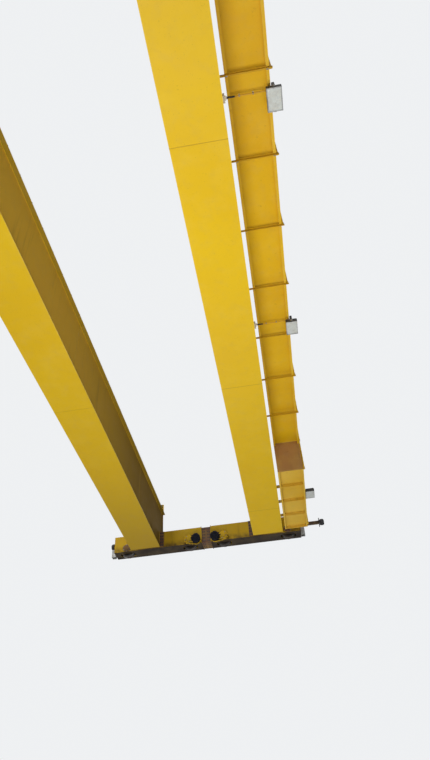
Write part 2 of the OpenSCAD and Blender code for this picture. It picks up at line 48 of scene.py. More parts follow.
camera = {
    "x": 2.178, "y": -5.982, "belowGirder": 9.325,    # metres
    "pitch": 42.78, "yaw": 5.874, "roll": -4.133,     # degrees: up, to the left, and tilt
    "lens": 27.835, "sensor": 36.0,                   # millimetres
    "nearest": 0.05, "farthest": 8000.0,              # metres
}


def low(node):
    # The lowest X, Y and Z of a node
    return np.array(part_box(node)[0])


def high(node):
    # The highest X, Y and Z of a node
    return np.array(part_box(node)[1])


def pointsOf(node):
    # A node's corner points, one row each
    mesh = nodes[node].data
    points = np.zeros(len(mesh.vertices) * 3, np.float32)
    mesh.vertices.foreach_get("co", points)
    return points.reshape(-1, 3)


def levels(node, axis):
    # The different coordinates of a node's corners along an axis, in order
    return np.unique(np.round(pointsOf(node)[:, axis], reading["digits"]))


def split(values, gap):
    # Ordered values in groups, parted wherever neighbours are further apart than the gap
    return np.split(values, np.nonzero(np.diff(values) > gap)[0] + 1)


def runs(node, axis, gap):
    # Stretches of a node along an axis, parted wherever no point lies for more than the gap
    return [(group[0], group[-1]) for group in split(levels(node, axis), gap)]


def within(node, axis, stretch):
    # Low and high corner of the points of a node that lie in a stretch along an axis
    points = pointsOf(node)
    place = points[:, axis]
    kept = points[(place > stretch[0] - reading["slack"]) & (place < stretch[1] + reading["slack"])]
    return kept.min(0).astype(float), kept.max(0).astype(float)


def makeCamera(c):
    # The direction comes from yaw and pitch; the roll then turns right and up about it
    yaw, pitch, roll = (math.radians(c[k]) for k in ("yaw", "pitch", "roll"))
    ahead = np.array([-math.sin(yaw) * math.cos(pitch), math.cos(yaw) * math.cos(pitch), math.sin(pitch)])
    flat = np.array([math.cos(yaw), math.sin(yaw), 0.0])
    above = np.cross(flat, ahead)
    data = bpy.data.cameras.new("camera")
    data.lens = c["lens"]
    data.sensor_width = c["sensor"]
    data.clip_start = c["nearest"]
    data.clip_end = c["farthest"]
    obj = bpy.data.objects.new("camera", data)
    place = (c["x"], c["y"], low("right_bottom_flange")[2] - c["belowGirder"])
    matrix = np.eye(4)
    matrix[:3, 0] = flat * math.cos(roll) + above * math.sin(roll)
    matrix[:3, 1] = above * math.cos(roll) - flat * math.sin(roll)
    matrix[:3, 2] = -ahead
    matrix[:3, 3] = place
    obj.matrix_world = matrix.T.tolist()
    scene.collection.objects.link(obj)
    scene.camera = obj
    return place


eye = makeCamera(camera)
print("camera at", [round(v, 3) for v in eye])


# Shader helpers
def add(tree, kind, inputs=None, **settings):
    # Adds a shader node, sets its properties, then links or fills its inputs
    node = tree.nodes.new(kind)
    for key, value in settings.items():
        setattr(node, key, value)
    for key, value in (inputs or {}).items():
        socket = node.inputs[key]
        if isinstance(value, bpy.types.NodeSocket):
            tree.links.new(value, socket)
        else:
            socket.default_value = value
    return node


def calc(tree, operation, a, b=0.5, clamp=False):
    # One number worked out of one or two, as a + b
    return add(tree, "ShaderNodeMath", {0: a, 1: b}, operation=operation, use_clamp=clamp).outputs[0]


def vectorCalc(tree, operation, a, b=(0, 0, 0)):
    # One vector worked out of one or two, axis by axis
    return add(tree, "ShaderNodeVectorMath", {0: a, 1: b}, operation=operation).outputs[0]


def mixed(tree, factor, a, b):
    # Colour a (1 - factor) + b factor
    return add(tree, "ShaderNodeMix", {0: factor, 6: a, 7: b}, data_type="RGBA").outputs[2]


def between(tree, factor, a, b):
    # Number a (1 - factor) + b factor
    return add(tree, "ShaderNodeMix", {0: factor, 2: a, 3: b}).outputs[0]


def ramp(tree, value, start, end, least=0.0, most=1.0):
    # Maps start..end to least..most smoothly and stays flat outside
    return add(tree, "ShaderNodeMapRange", {0: value, 1: start, 2: end, 3: least, 4: most},
               interpolation_type="SMOOTHSTEP").outputs[0]


def rgba(colour):
    # An opaque colour
    return (colour[0], colour[1], colour[2], 1.0)


def noise(tree, vector, scale, detail=4.0, roughness=0.55):
    # Cloudy noise from 0 to 1 round a half; a larger scale gives smaller clouds
    return add(tree, "ShaderNodeTexNoise",
               {"Vector": vector, "Scale": scale, "Detail": detail, "Roughness": roughness}).outputs["Fac"]


def stretched(tree, vector, scale):
    # A vector times a scale for each axis; a larger one makes what follows it finer along that axis
    return add(tree, "ShaderNodeMapping", {"Vector": vector, "Scale": scale}).outputs[0]


def axisOf(tree, vector, index):
    # X, Y or Z of a vector, for the index 0, 1 or 2
    return add(tree, "ShaderNodeSeparateXYZ", {0: vector}).outputs[index]


def upwardness(tree):
    # The normal's Z: 1 on a face that looks up, 0 on an upright one and -1 on one that looks down
    return axisOf(tree, add(tree, "ShaderNodeNewGeometry").outputs["Normal"], 2)


def newGroup(name, inputs, outputs):
    # A shader group with a Vector, named inputs with their defaults, and named outputs of one number each
    tree = bpy.data.node_groups.new(name, "ShaderNodeTree")
    for label, default in {"Vector": (0, 0, 0), **inputs}.items():
        kind = "NodeSocketVector" if isinstance(default, tuple) else "NodeSocketFloat"
        tree.interface.new_socket(label, in_out="INPUT", socket_type=kind).default_value = default
    for label in outputs:
        tree.interface.new_socket(label, in_out="OUTPUT", socket_type="NodeSocketFloat")
    return tree, tree.nodes.new("NodeGroupInput").outputs, tree.nodes.new("NodeGroupOutput").inputs


# Shared effects. A noise is its scale, detail and roughness; a ramp is its start, end, least and most.
mottleNoise = {"Cloud": (0.35, 3.0), "Patch": (2.6, 6.0), "Speck": (38.0, 3.0)}


def makeMottleGroup():
    # Unevenness of paint, each from 0 to 1 round a half: slow clouds, patches and fine specks
    tree, given, out = newGroup("mottle", {}, list(mottleNoise))
    for label, fineness in mottleNoise.items():
        tree.links.new(noise(tree, given["Vector"], *fineness), out[label])
    return tree


def makeEdgeGroup():
    # Nearness to the edges of a box: 1 on an edge and 0 further than Width from it.
    # On a face one of the distances along X, Y and Z is zero, so the middle one is the way to an edge.
    tree, given, out = newGroup("boxEdges", {"Low": (0, 0, 0), "High": (1, 1, 1), "Width": 0.02}, ["Edge"])
    fromLow = vectorCalc(tree, "ABSOLUTE", vectorCalc(tree, "SUBTRACT", given["Vector"], given["Low"]))
    fromHigh = vectorCalc(tree, "ABSOLUTE", vectorCalc(tree, "SUBTRACT", given["High"], given["Vector"]))
    x, y, z = add(tree, "ShaderNodeSeparateXYZ", {0: vectorCalc(tree, "MINIMUM", fromLow, fromHigh)}).outputs
    smaller = calc(tree, "MINIMUM", x, y)
    larger = calc(tree, "MAXIMUM", x, y)
    middle = calc(tree, "MAXIMUM", smaller, calc(tree, "MINIMUM", larger, z))
    share = calc(tree, "DIVIDE", middle, given["Width"], clamp=True)
    tree.links.new(calc(tree, "SUBTRACT", 1.0, share, clamp=True), out["Edge"])
    return tree


dustShape = {
    "upward": (0.25, 0.95),                           # the normal's Z where dust begins, and where it is full
    "coverNoise": (1.9, 7.0, 0.62), "cover": (0.36, 0.66, 0.35, 1.0),
    "filmNoise": (5.5, 5.0), "film": (0.45, 0.75, 0.0, 0.10),
}


def makeDustGroup():
    # Dust lies on faces that look up, thicker where a noise is high, and is a thin film elsewhere
    tree, given, out = newGroup("dust", {"Amount": 0.5}, ["Mask"])
    upward = ramp(tree, upwardness(tree), *dustShape["upward"])
    cover = ramp(tree, noise(tree, given["Vector"], *dustShape["coverNoise"]), *dustShape["cover"])
    film = ramp(tree, noise(tree, given["Vector"], *dustShape["filmNoise"]), *dustShape["film"])
    whole = calc(tree, "ADD", calc(tree, "MULTIPLY", upward, cover), film, clamp=True)
    tree.links.new(calc(tree, "MULTIPLY", whole, given["Amount"], clamp=True), out["Mask"])
    return tree


runShape = {
    "fineStretch": (9.0, 9.0, 0.55), "fineNoise": (1.0, 5.0, 0.6), "fine": (0.48, 0.78),
    "wideStretch": (1.3, 1.3, 0.35), "wideNoise": (1.0, 3.0), "wide": (0.42, 0.68),
    "upright": (0.5, 0.9, 1.0, 0.0),
}


def makeRunGroup():
    # Runs of dirt down a plate: noise squeezed along X and Y and drawn out along Z, on upright faces
    tree, given, out = newGroup("dirtRuns", {"Amount": 0.4}, ["Mask"])
    fine = noise(tree, stretched(tree, given["Vector"], runShape["fineStretch"]), *runShape["fineNoise"])
    wide = noise(tree, stretched(tree, given["Vector"], runShape["wideStretch"]), *runShape["wideNoise"])
    streaks = calc(tree, "MULTIPLY", ramp(tree, fine, *runShape["fine"]), ramp(tree, wide, *runShape["wide"]))
    level = calc(tree, "ABSOLUTE", upwardness(tree))
    mask = calc(tree, "MULTIPLY", streaks, ramp(tree, level, *runShape["upright"]))
    tree.links.new(calc(tree, "MULTIPLY", mask, given["Amount"], clamp=True), out["Mask"])
    return tree


plateShape = {
    "slowStretch": (1.0, 0.75, 1.0), "slowNoise": (1.7, 2.0), "grainNoise": (210.0, 2.0), "cushion": 0.8,
}


def makePlateGroup():
    # Height of a stiffened plate: cushions between the stiffeners, a slow wave, and the paint's grain.
    # A cushion along Y is |cos(pi y / Bay)|.
    tree, given, out = newGroup("plateWave", {"Bay": 1.5, "Wave": 1.0, "Grain": 0.01}, ["Height"])
    turns = calc(tree, "DIVIDE", axisOf(tree, given["Vector"], 1), given["Bay"])
    cushion = calc(tree, "ABSOLUTE", calc(tree, "COSINE", calc(tree, "MULTIPLY", turns, math.pi)))
    slow = noise(tree, stretched(tree, given["Vector"], plateShape["slowStretch"]), *plateShape["slowNoise"])
    both = calc(tree, "ADD", slow, calc(tree, "MULTIPLY", cushion, plateShape["cushion"]))
    wave = calc(tree, "MULTIPLY", both, given["Wave"])
    grain = calc(tree, "MULTIPLY", noise(tree, given["Vector"], *plateShape["grainNoise"]), given["Grain"])
    tree.links.new(calc(tree, "ADD", wave, grain), out["Height"])
    return tree


lozenge = {"long": 0.46, "short": 0.15, "edge": (0.75, 1.1, 1.0, 0.0), "upward": 0.7}    # half axes in cells


def makeChequerGroup():
    # Tread lozenges on faces that look up: ellipses on a diagonal lattice, turned in every other cell.
    # With p and q from the cell's middle, a lozenge is where (p / long)^2 + (q / short)^2 is under 1.
    tree, given, out = newGroup("chequer", {"Pitch": 0.03}, ["Height"])
    x = axisOf(tree, given["Vector"], 0)
    y = axisOf(tree, given["Vector"], 1)
    u = calc(tree, "DIVIDE", calc(tree, "ADD", x, y), given["Pitch"])
    v = calc(tree, "DIVIDE", calc(tree, "SUBTRACT", x, y), given["Pitch"])
    cells = calc(tree, "ADD", calc(tree, "FLOOR", u), calc(tree, "FLOOR", v))
    odd = calc(tree, "GREATER_THAN", calc(tree, "PINGPONG", cells, 1.0), 0.5)
    p = calc(tree, "SUBTRACT", calc(tree, "FRACT", u), 0.5)
    q = calc(tree, "SUBTRACT", calc(tree, "FRACT", v), 0.5)
    a = calc(tree, "POWER", calc(tree, "DIVIDE", between(tree, odd, p, q), lozenge["long"]), 2.0)
    b = calc(tree, "POWER", calc(tree, "DIVIDE", between(tree, odd, q, p), lozenge["short"]), 2.0)
    body = ramp(tree, calc(tree, "ADD", a, b), *lozenge["edge"])
    upward = calc(tree, "GREATER_THAN", upwardness(tree), lozenge["upward"])
    tree.links.new(calc(tree, "MULTIPLY", body, upward), out["Height"])
    return tree


groups = {
    "mottle": makeMottleGroup(), "edges": makeEdgeGroup(), "dust": makeDustGroup(),
    "dirtRuns": makeRunGroup(), "plate": makePlateGroup(), "chequer": makeChequerGroup(),
}


def use(tree, name, inputs):
    # Places one of the groups in a tree
    return add(tree, "ShaderNodeGroup", inputs, node_tree=groups[name]).outputs


def newMaterial(name):
    # An empty material and its shader tree
    mat = bpy.data.materials.new(name)
    mat.use_nodes = True
    mat.node_tree.nodes.clear()
    return mat, mat.node_tree


def objectPlace(tree):
    # The place on the part, in metres
    return add(tree, "ShaderNodeTexCoord").outputs["Object"]


bumpStrength = 0.6


def finishMaterial(tree, colour, roughness, height, depth, metallic=0.0, gloss=0.5, coat=0.0):
    # Feeds the Principled shader; the constants go straight onto its own sockets
    bump = add(tree, "ShaderNodeBump", {"Height": height, "Distance": depth, "Strength": bumpStrength})
    shader = add(tree, "ShaderNodeBsdfPrincipled",
                 {"Base Color": colour, "Roughness": roughness, "Metallic": metallic,
                  "Specular IOR Level": gloss, "Coat Weight": coat, "Normal": bump.outputs[0]})
    add(tree, "ShaderNodeOutputMaterial", {0: shader.outputs[0]})


# Linear colours of the finishes; grimeAndShade, nearBlack and webShade also serve as painted shade, and brown
# as painted shade on the risers
paint = {
    "yellow": (0.790, 0.515, 0.012), "orange": (0.690, 0.395, 0.012), "chalkAndHighlight": (0.850, 0.620, 0.110),
    "dust": (0.330, 0.270, 0.190), "grimeAndShade": (0.060, 0.034, 0.018), "rust": (0.200, 0.070, 0.024),
    "primer": (0.150, 0.082, 0.058), "nearBlack": (0.022, 0.016, 0.014), "brown": (0.400, 0.212, 0.084),
    "pale": (0.800, 0.530, 0.075), "box": (0.850, 0.850, 0.820),
    "webShade": (0.780, 0.500, 0.060), "webShadeTone": (0.680, 0.400, 0.050),
}


def over(tree, amount, colour, tone):
    # Lays one of the finishes' colours over another colour
    return mixed(tree, amount, colour, rgba(paint[tone]))


enamelShape = {
    "cloud": (0.30, 0.70), "patch": (0.42, 0.72, 0.0, 0.14), "speck": (0.62, 0.76, 0.0, 0.20),
    "chalkAndHighlightBreaks": (0.30, 0.62, 0.35, 1.0), "smear": (0.35, 0.62, 0.25, 1.0), "down": (-0.9, -0.5),
    "rustNoise": (7.0, 8.0, 0.66), "rust": (0.60, 0.72),
    "roughPatch": (0.3, 0.7), "smoother": 0.06, "rougher": 0.10, "dustRough": 0.35,
    "bay": 1.5, "grain": 0.012, "treadHeight": 0.35, "bump": 0.006,
}


def enamel(name, node=None, base="yellow", tone="orange", tint=0.35, dust=0.5, dirtRuns=0.35, rust=0.0,
           chalkAndHighlightWidth=0.022, chalkAndHighlight=0.55, rough=0.42, wave=1.0, grimeAndShade=0.0, grimeAndShadeZ=(0.0, 0.4),
           under=0.0, tread=0.0, deep=0.0, endShade=0.0, endShadeY=(3.0, 12.0), gloss=0.10):
    # Paint on steel: two mixed tones, edges lightened by chalking and by painted highlight, specks, dirt,
    # rust spots and dust.
    # grimeAndShade darkens below the heights grimeAndShadeZ, as grease and painted shade; under darkens the
    # faces that look down, and deep the whole, as painted shade;
    # and endShade darkens towards both ends of the span, between the distances endShadeY from its middle, as
    # painted shade.
    e = enamelShape
    mat, tree = newMaterial(name)
    here = objectPlace(tree)
    mottle = use(tree, "mottle", {"Vector": here})
    colour = over(tree, ramp(tree, mottle["Cloud"], *e["cloud"], 0.0, tint), rgba(paint[base]), tone)
    colour = over(tree, ramp(tree, mottle["Patch"], *e["patch"]), colour, "chalkAndHighlight")
    # Edges lighter: chalked paint, and painted highlight where edges catch the light
    if chalkAndHighlight > 0 and node:
        box = {"Vector": here, "Low": tuple(low(node)), "High": tuple(high(node)), "Width": chalkAndHighlightWidth}
        edge = use(tree, "edges", box)["Edge"]
        broken = calc(tree, "MULTIPLY", edge, ramp(tree, mottle["Patch"], *e["chalkAndHighlightBreaks"]))
        colour = over(tree, calc(tree, "MULTIPLY", broken, chalkAndHighlight, clamp=True), colour, "chalkAndHighlight")
    colour = over(tree, ramp(tree, mottle["Speck"], *e["speck"]), colour, "grimeAndShade")
    colour = over(tree, use(tree, "dirtRuns", {"Vector": here, "Amount": dirtRuns})["Mask"], colour, "grimeAndShade")
    if rust > 0:
        spots = ramp(tree, noise(tree, here, *e["rustNoise"]), *e["rust"], 0.0, rust)
        colour = over(tree, spots, colour, "rust")
    # Painted shade over the whole colour
    if deep > 0:
        colour = over(tree, deep, colour, "grimeAndShade")
    # Painted shade, darker towards both ends of the span
    if endShade > 0:
        reach = calc(tree, "ABSOLUTE", axisOf(tree, here, 1))
        colour = over(tree, ramp(tree, reach, *endShadeY, 0.0, endShade), colour, "grimeAndShade")
    # Darker low down, in patches: grease and painted shade
    if grimeAndShade > 0:
        lowDown = ramp(tree, axisOf(tree, here, 2), *grimeAndShadeZ, 1.0, 0.0)
        smear = calc(tree, "MULTIPLY", lowDown, ramp(tree, mottle["Patch"], *e["smear"]))
        colour = over(tree, calc(tree, "MULTIPLY", smear, grimeAndShade), colour, "grimeAndShade")
    # Painted shade on the faces that look down
    if under > 0:
        colour = over(tree, ramp(tree, upwardness(tree), *e["down"], under, 0.0), colour, "nearBlack")
    dusty = use(tree, "dust", {"Vector": here, "Amount": dust})["Mask"]
    colour = over(tree, dusty, colour, "dust")
    uneven = ramp(tree, mottle["Patch"], *e["roughPatch"], rough - e["smoother"], rough + e["rougher"])
    roughness = calc(tree, "ADD", uneven, calc(tree, "MULTIPLY", dusty, e["dustRough"]), clamp=True)
    plate = {"Vector": here, "Bay": e["bay"], "Wave": wave, "Grain": e["grain"]}
    height = use(tree, "plate", plate)["Height"]
    if tread > 0:
        lozenges = use(tree, "chequer", {"Vector": here, "Pitch": tread})["Height"]
        height = calc(tree, "ADD", height, calc(tree, "MULTIPLY", lozenges, e["treadHeight"]))
    finishMaterial(tree, colour, roughness, height, e["bump"], gloss=gloss)
    return mat


metalShape = {
    "dark": 0.45, "patch": (0.35, 0.70), "scaleNoise": (9.0, 5.0), "rust": (0.48, 0.75),
    "roughScale": (0.3, 0.7), "smoother": 0.08, "rougher": 0.12, "bump": 0.001,
    "wornUp": 0.9, "wornBreaks": (0.25, 0.6, 1.0, 0.7), "wornColour": (0.62, 0.60, 0.57), "wornRough": 0.24,
}


def bareMetal(name, base, rough=0.5, metallic=0.0, rust=0.3, dust=0.3, grain=(2.0, 2.0, 2.0), polish=None,
              sheen=0.5):
    # Bare, cast or moulded: blotches, a grain that may run one way, rust, and dust on top.
    # polish is a height: faces that look up above it are worn bright by wheels.
    m = metalShape
    mat, tree = newMaterial(name)
    here = objectPlace(tree)
    mottle = use(tree, "mottle", {"Vector": here})
    dark = tuple(v * m["dark"] for v in base)
    colour = mixed(tree, ramp(tree, mottle["Patch"], *m["patch"]), rgba(base), rgba(dark))
    scale = noise(tree, stretched(tree, here, grain), *m["scaleNoise"])
    colour = over(tree, ramp(tree, scale, *m["rust"], 0.0, rust), colour, "rust")
    colour = over(tree, use(tree, "dust", {"Vector": here, "Amount": dust})["Mask"], colour, "dust")
    roughness = ramp(tree, scale, *m["roughScale"], rough - m["smoother"], rough + m["rougher"])
    if polish is not None:
        upward = calc(tree, "GREATER_THAN", upwardness(tree), m["wornUp"])
        above = calc(tree, "GREATER_THAN", axisOf(tree, here, 2), polish)
        head = calc(tree, "MULTIPLY", upward, above)
        worn = calc(tree, "MULTIPLY", head, ramp(tree, scale, *m["wornBreaks"]))
        colour = mixed(tree, worn, colour, rgba(m["wornColour"]))
        roughness = between(tree, worn, roughness, m["wornRough"])
        metallic = calc(tree, "MAXIMUM", worn, metallic)
    finishMaterial(tree, colour, roughness, mottle["Speck"], m["bump"], metallic=metallic, gloss=sheen)
    return mat


paneShape = {
    "pale": (0.62, 0.66, 0.64), "deep": (0.55, 0.59, 0.58), "cell": 26.0, "cells": (0.1, 0.6),
    "smearNoise": (9.0, 5.0), "smear": (0.4, 0.7, 0.0, 0.22),
    "roughNoise": (14.0, 4.0), "rough": (0.3, 0.7, 0.10, 0.30), "bump": 0.001, "gloss": 0.4, "coat": 0.35,
}


def paneMaterial(name):
    # A dusty toughened pane over a dimpled reflector: soft cells, smears, and a clear coat
    p = paneShape
    mat, tree = newMaterial(name)
    here = objectPlace(tree)
    cells = add(tree, "ShaderNodeTexVoronoi", {"Vector": here, "Scale": p["cell"]}).outputs["Distance"]
    colour = mixed(tree, ramp(tree, cells, *p["cells"]), rgba(p["deep"]), rgba(p["pale"]))
    colour = over(tree, ramp(tree, noise(tree, here, *p["smearNoise"]), *p["smear"]), colour, "dust")
    roughness = ramp(tree, noise(tree, here, *p["roughNoise"]), *p["rough"])
    finishMaterial(tree, colour, roughness, cells, p["bump"], gloss=p["gloss"], coat=p["coat"])
    return mat


def dress(node, mat, second=None, chosen=None):
    # One material on a node, or a second one on the polygons whose centres are chosen
    data = nodes[node].data
    data.materials.clear()
    data.materials.append(mat)
    index = np.zeros(len(data.polygons), np.int32)
    if second:
        data.materials.append(second)
        centres = np.zeros(len(data.polygons) * 3, np.float32)
        data.polygons.foreach_get("center", centres)
        index = chosen(centres.reshape(-1, 3)).astype(np.int32)
    data.polygons.foreach_set("material_index", index)


# Finishes of the girders and the crab rails
# chalkAndHighlight pales the edges: chalked paint and painted highlight
girderLook = {"dust": 0.62, "dirtRuns": 0.30, "chalkAndHighlightWidth": 0.016, "chalkAndHighlight": 0.75, "wave": 1.0, "tint": 0.30}
girderExtras = {
    # top_flange: under is painted shade on the faces that look down
    "bottom_flange": {}, "outer_web": {}, "top_flange": {"under": 0.64},
    # inner_web: the webShade colours and endShade are painted shade, darker towards the ends
    "inner_web": {"base": "webShade", "tone": "webShadeTone", "endShade": 0.74, "endShadeY": (1.0, 11.5), "gloss": 0.015,
                  "rough": 0.62},
}
# Painted shade: the left underside darker all over and towards the ends
leftUndersideLook = {"deep": 0.11, "endShade": 0.33, "endShadeY": (6.0, 12.0)}
primerLook = {"base": "primer", "tone": "rust", "chalkAndHighlight": 0.0, "dust": 0.45, "rough": 0.60, "rust": 0.35,
              "wave": 0.3}
crabRailLook = {"base": (0.20, 0.17, 0.15), "rough": 0.46, "metallic": 0.55, "rust": 0.65, "dust": 0.3,
                "grain": (4.0, 0.15, 4.0)}
wornDepth = 0.004                                     # metres of the rail's head that are worn bright

for side in sides:
    for part, extra in girderExtras.items():
        name = f"{side}_{part}"
        look = {**girderLook, **extra}
        if name == "left_bottom_flange":
            look.update(leftUndersideLook)
        dress(name, enamel(name + "_enamel", name, **look))
    for part in ("diaphragms", "end_plates"):
        name = f"{side}_{part}"
        dress(name, enamel(name + "_primer", name, **primerLook))
    name = f"{side}_crab_rail"
    dress(name, bareMetal(name + "_steel", polish=high(name)[2] - wornDepth, **crabRailLook))
dress("crab_stops", enamel("crab_stops_enamel", "crab_stops", dust=0.5, rust=0.3))


# Finishes of the end carriages
# Painted shade on the carriages: deep darkens them all over, under the faces that look down, and
# grimeAndShade low down, with grease
carriageLook = {"dust": 0.60, "dirtRuns": 0.55, "chalkAndHighlightWidth": 0.016, "chalkAndHighlight": 0.40, "tint": 0.75,
                "deep": 0.32, "grimeAndShade": 0.85, "grimeAndShadeZ": (0.12, 0.34), "under": 0.93, "rust": 0.35,
                "rough": 0.48, "wave": 0.5}
wheelLook = {"base": (0.15, 0.145, 0.14), "rough": 0.42, "metallic": 0.7, "rust": 0.45, "dust": 0.25}
# The bearings and gear cases are darker low down (grimeAndShade: grease and painted shade); the cases' deep
# and under are painted shade too
bearingLook = {**primerLook, "grimeAndShade": 0.6, "grimeAndShadeZ": (0.05, 0.40)}
caseLook = {**carriageLook, "deep": 0.12, "under": 0.4, "grimeAndShade": 0.35, "chalkAndHighlight": 0.0, "wave": 0.0}
motorLook = {"base": (0.002, 0.003, 0.010), "rough": 0.55, "rust": 0.0, "dust": 0.10, "sheen": 0.12}
rubberLook = {"base": (0.020, 0.020, 0.023), "rough": 0.75, "rust": 0.0, "dust": 0.5}
armLook = {"base": "nearBlack", "tone": "primer", "chalkAndHighlight": 0.0, "rust": 0.3}
guardLook = {"base": (0.56, 0.57, 0.56), "rough": 0.5, "metallic": 0.2, "rust": 0.10}
gearCase = {"back": 0.035, "thick": 0.080, "lip": 0.016, "lipAt": 0.45, "cap": 0.012, "axleR": 0.158,
            "motorR": 0.136}                          # metres, but lipAt is a share of the thickness
motorReach = {"half": 0.165, "slack": 0.0005, "clear": 0.001}


def fanFace(end, side):
    # Y of a drive's face that looks into the span, and low and high corner of the points on it
    node = f"{end}_{side}_drive"
    y = high(node)[1] if ends[end] < 0 else low(node)[1]
    return y, within(node, 1, (y - motorReach["slack"], y + motorReach["slack"]))


def motorPolygons(end, side):
    # Chooses the motor's polygons of a drive: those in front of the gear case, beside the fan's middle
    node = f"{end}_{side}_drive"
    _, (a, b) = fanFace(end, side)
    middle = (a[0] + b[0]) / 2
    back = max(abs(low(node)[1]), abs(high(node)[1])) - gearCase["back"]
    front = back - gearCase["thick"] + motorReach["clear"]
    return lambda c: (np.abs(c[:, 0] - middle) < motorReach["half"]) & (np.abs(c[:, 1]) < front)


for end in ends:
    for side in sides:
        name = f"{end}_{side}_carriage"
        dress(name, enamel(name + "_enamel", name, **carriageLook))
        name = f"{end}_{side}_wheels"
        dress(name, bareMetal(name + "_cast", **wheelLook))
        name = f"{end}_{side}_bearings"
        dress(name, enamel(name + "_primer", name, **bearingLook))
        name = f"{end}_{side}_drive"
        case = enamel(name + "_case_enamel", name, **caseLook)
        motor = bareMetal(name + "_motor_coat", **motorLook)
        dress(name, case, motor, motorPolygons(end, side))
    name = f"{end}_splice"
    dress(name, enamel(name + "_primer", name, **primerLook))
    name = f"{end}_buffers"
    dress(name, bareMetal(name + "_rubber", **rubberLook))
dress("buffer_arms", enamel("buffer_arms_primer", "buffer_arms", **armLook))
dress("rail_guards", bareMetal("rail_guards_zinc", **guardLook))


# Finishes of the walkway, its landings and its rails
# chalkAndHighlight pales the edges and channel lips: chalked paint and painted highlight
walkLook = {"dust": 0.70, "dirtRuns": 0.35, "chalkAndHighlightWidth": 0.040, "chalkAndHighlight": 0.60, "tint": 0.85, "rust": 0.22,
            "rough": 0.50, "wave": 0.8}
treadPitch = 0.032
channelLook = {"chalkAndHighlight": 0.35}
landingLook = {"base": "pale", "tread": treadPitch}
# The riser's brown base is painted shade on its upright face
riserLook = {"base": "brown", "tint": 0.15, "chalkAndHighlight": 0.1, "rust": 0.35, "dust": 0.9}
walkExtras = {
    "walkway_floor": {"tread": treadPitch},
    "walkway_inner_channel": channelLook, "walkway_outer_channel": channelLook,
    # the brackets' deep is painted shade
    "walkway_brackets": {"tint": 1.0, "chalkAndHighlight": 0.1, "rust": 0.5, "deep": 0.25},
    "near_landing": landingLook, "far_landing": landingLook, "near_riser": riserLook, "far_riser": riserLook,
}
railLook = {"dust": 0.5, "dirtRuns": 0.3, "chalkAndHighlight": 0.0, "rust": 0.2, "wave": 0.0}
handrails = ("walkway_handrail", "near_landing_rail", "far_landing_rail")

for name, extra in walkExtras.items():
    dress(name, enamel(name + "_enamel", name, **{**walkLook, **extra}))
for name in handrails:
    dress(name, enamel(name + "_enamel", name, **railLook))


# Finishes of the floodlights and their leads
lampLook = {"base": (0.026, 0.027, 0.030), "rough": 0.50, "rust": 0.03, "dust": 0.5}
conduitLook = {"base": "orange", "tone": "brown", "tint": 0.45, "dust": 0.25, "rust": 0.2, "wave": 0.0}
junctionLook = {"base": "box", "tone": "box", "dust": 0.15, "dirtRuns": 0.1, "wave": 0.0}
junctionDepth = 0.066                                 # metres from the girder's web
boxEnd = high("right_outer_web")[0] + junctionDepth
boxSlack = 0.0005

dress("floodlights", bareMetal("lamp_coat", **lampLook))
conduitCoat = enamel("conduit_enamel", **conduitLook)
boxPaint = enamel("junction_paint", **junctionLook)
dress("lamp_conduits", conduitCoat, boxPaint, lambda c: c[:, 0] < boxEnd + boxSlack)
dress("floodlight_glasses", paneMaterial("lamp_glass"))
print("frame pieces finished:", len(bpy.data.materials), "materials")


# Shapes: each is its points, its face corners in a row, and how many corners each face has
def loft(rings):
    # Skins rings of points: quads between neighbours, and one flat face on each end ring.
    # The points of a ring run anticlockwise when the next ring comes towards the viewer.
    rings = np.asarray(rings, float)
    count, corners = rings.shape[:2]
    r, c = np.meshgrid(np.arange(count - 1), np.arange(corners), indexing="ij")
    here, beside = r * corners + c, r * corners + (c + 1) % corners
    quads = np.stack([here, beside, beside + corners, here + corners], -1).reshape(-1)
    first = np.arange(corners)[::-1]
    last = (count - 1) * corners + np.arange(corners)
    loops = np.concatenate([quads, first, last])
    sizes = np.concatenate([np.full((count - 1) * corners, 4), [corners, corners]])
    return rings.reshape(-1, 3), loops, sizes


def joined(shapes):
    # One shape of several: the points follow each other and the faces are counted on
    starts = np.cumsum([0] + [len(s[0]) for s in shapes[:-1]])
    return (np.concatenate([s[0] for s in shapes]),
            np.concatenate([s[1] + n for s, n in zip(shapes, starts)]),
            np.concatenate([s[2] for s in shapes]))


def copies(shape, places, turn=None):
    # The same shape at every place, turned first by one 3 by 3 matrix
    points, loops, sizes = shape
    if turn is not None:
        points = points @ np.asarray(turn, float).T
    places = np.asarray(places, float).reshape(-1, 3)
    count = len(places)
    moved = (places[:, None, :] + points[None, :, :]).reshape(-1, 3)
    offsets = (np.arange(count) * len(points))[:, None]
    return moved, (offsets + loops[None, :]).reshape(-1), np.tile(sizes, count)


def grid(*ranges):
    # Every combination of the given coordinates, one row each
    return np.stack(np.meshgrid(*ranges, indexing="ij"), -1).reshape(-1, 3)


closeToY = 0.9                                        # the Y of a unit vector from which it counts as along Y


def unit(vector):
    # v / |v|
    vector = np.array(vector, float)
    return vector / np.linalg.norm(vector)


def facing(direction):
    # A turn that takes +Z to the direction; X lies square to it and to Y, or to Z where it is close to Y
    z = unit(direction)
    x = unit(np.cross((0.0, 1.0, 0.0) if abs(z[1]) < closeToY else (0.0, 0.0, 1.0), z))
    return np.stack([x, np.cross(z, x), z], 1)


def lathe(profile, corners):
    # A profile of (radius, height) turned round Z: x = r cos a, y = r sin a
    r, z = np.array(profile, float).T
    a = np.arange(corners) * 2 * math.pi / corners
    rings = np.stack([np.outer(r, np.cos(a)), np.outer(r, np.sin(a)), np.outer(z, np.ones(corners))], -1)
    return loft(rings)


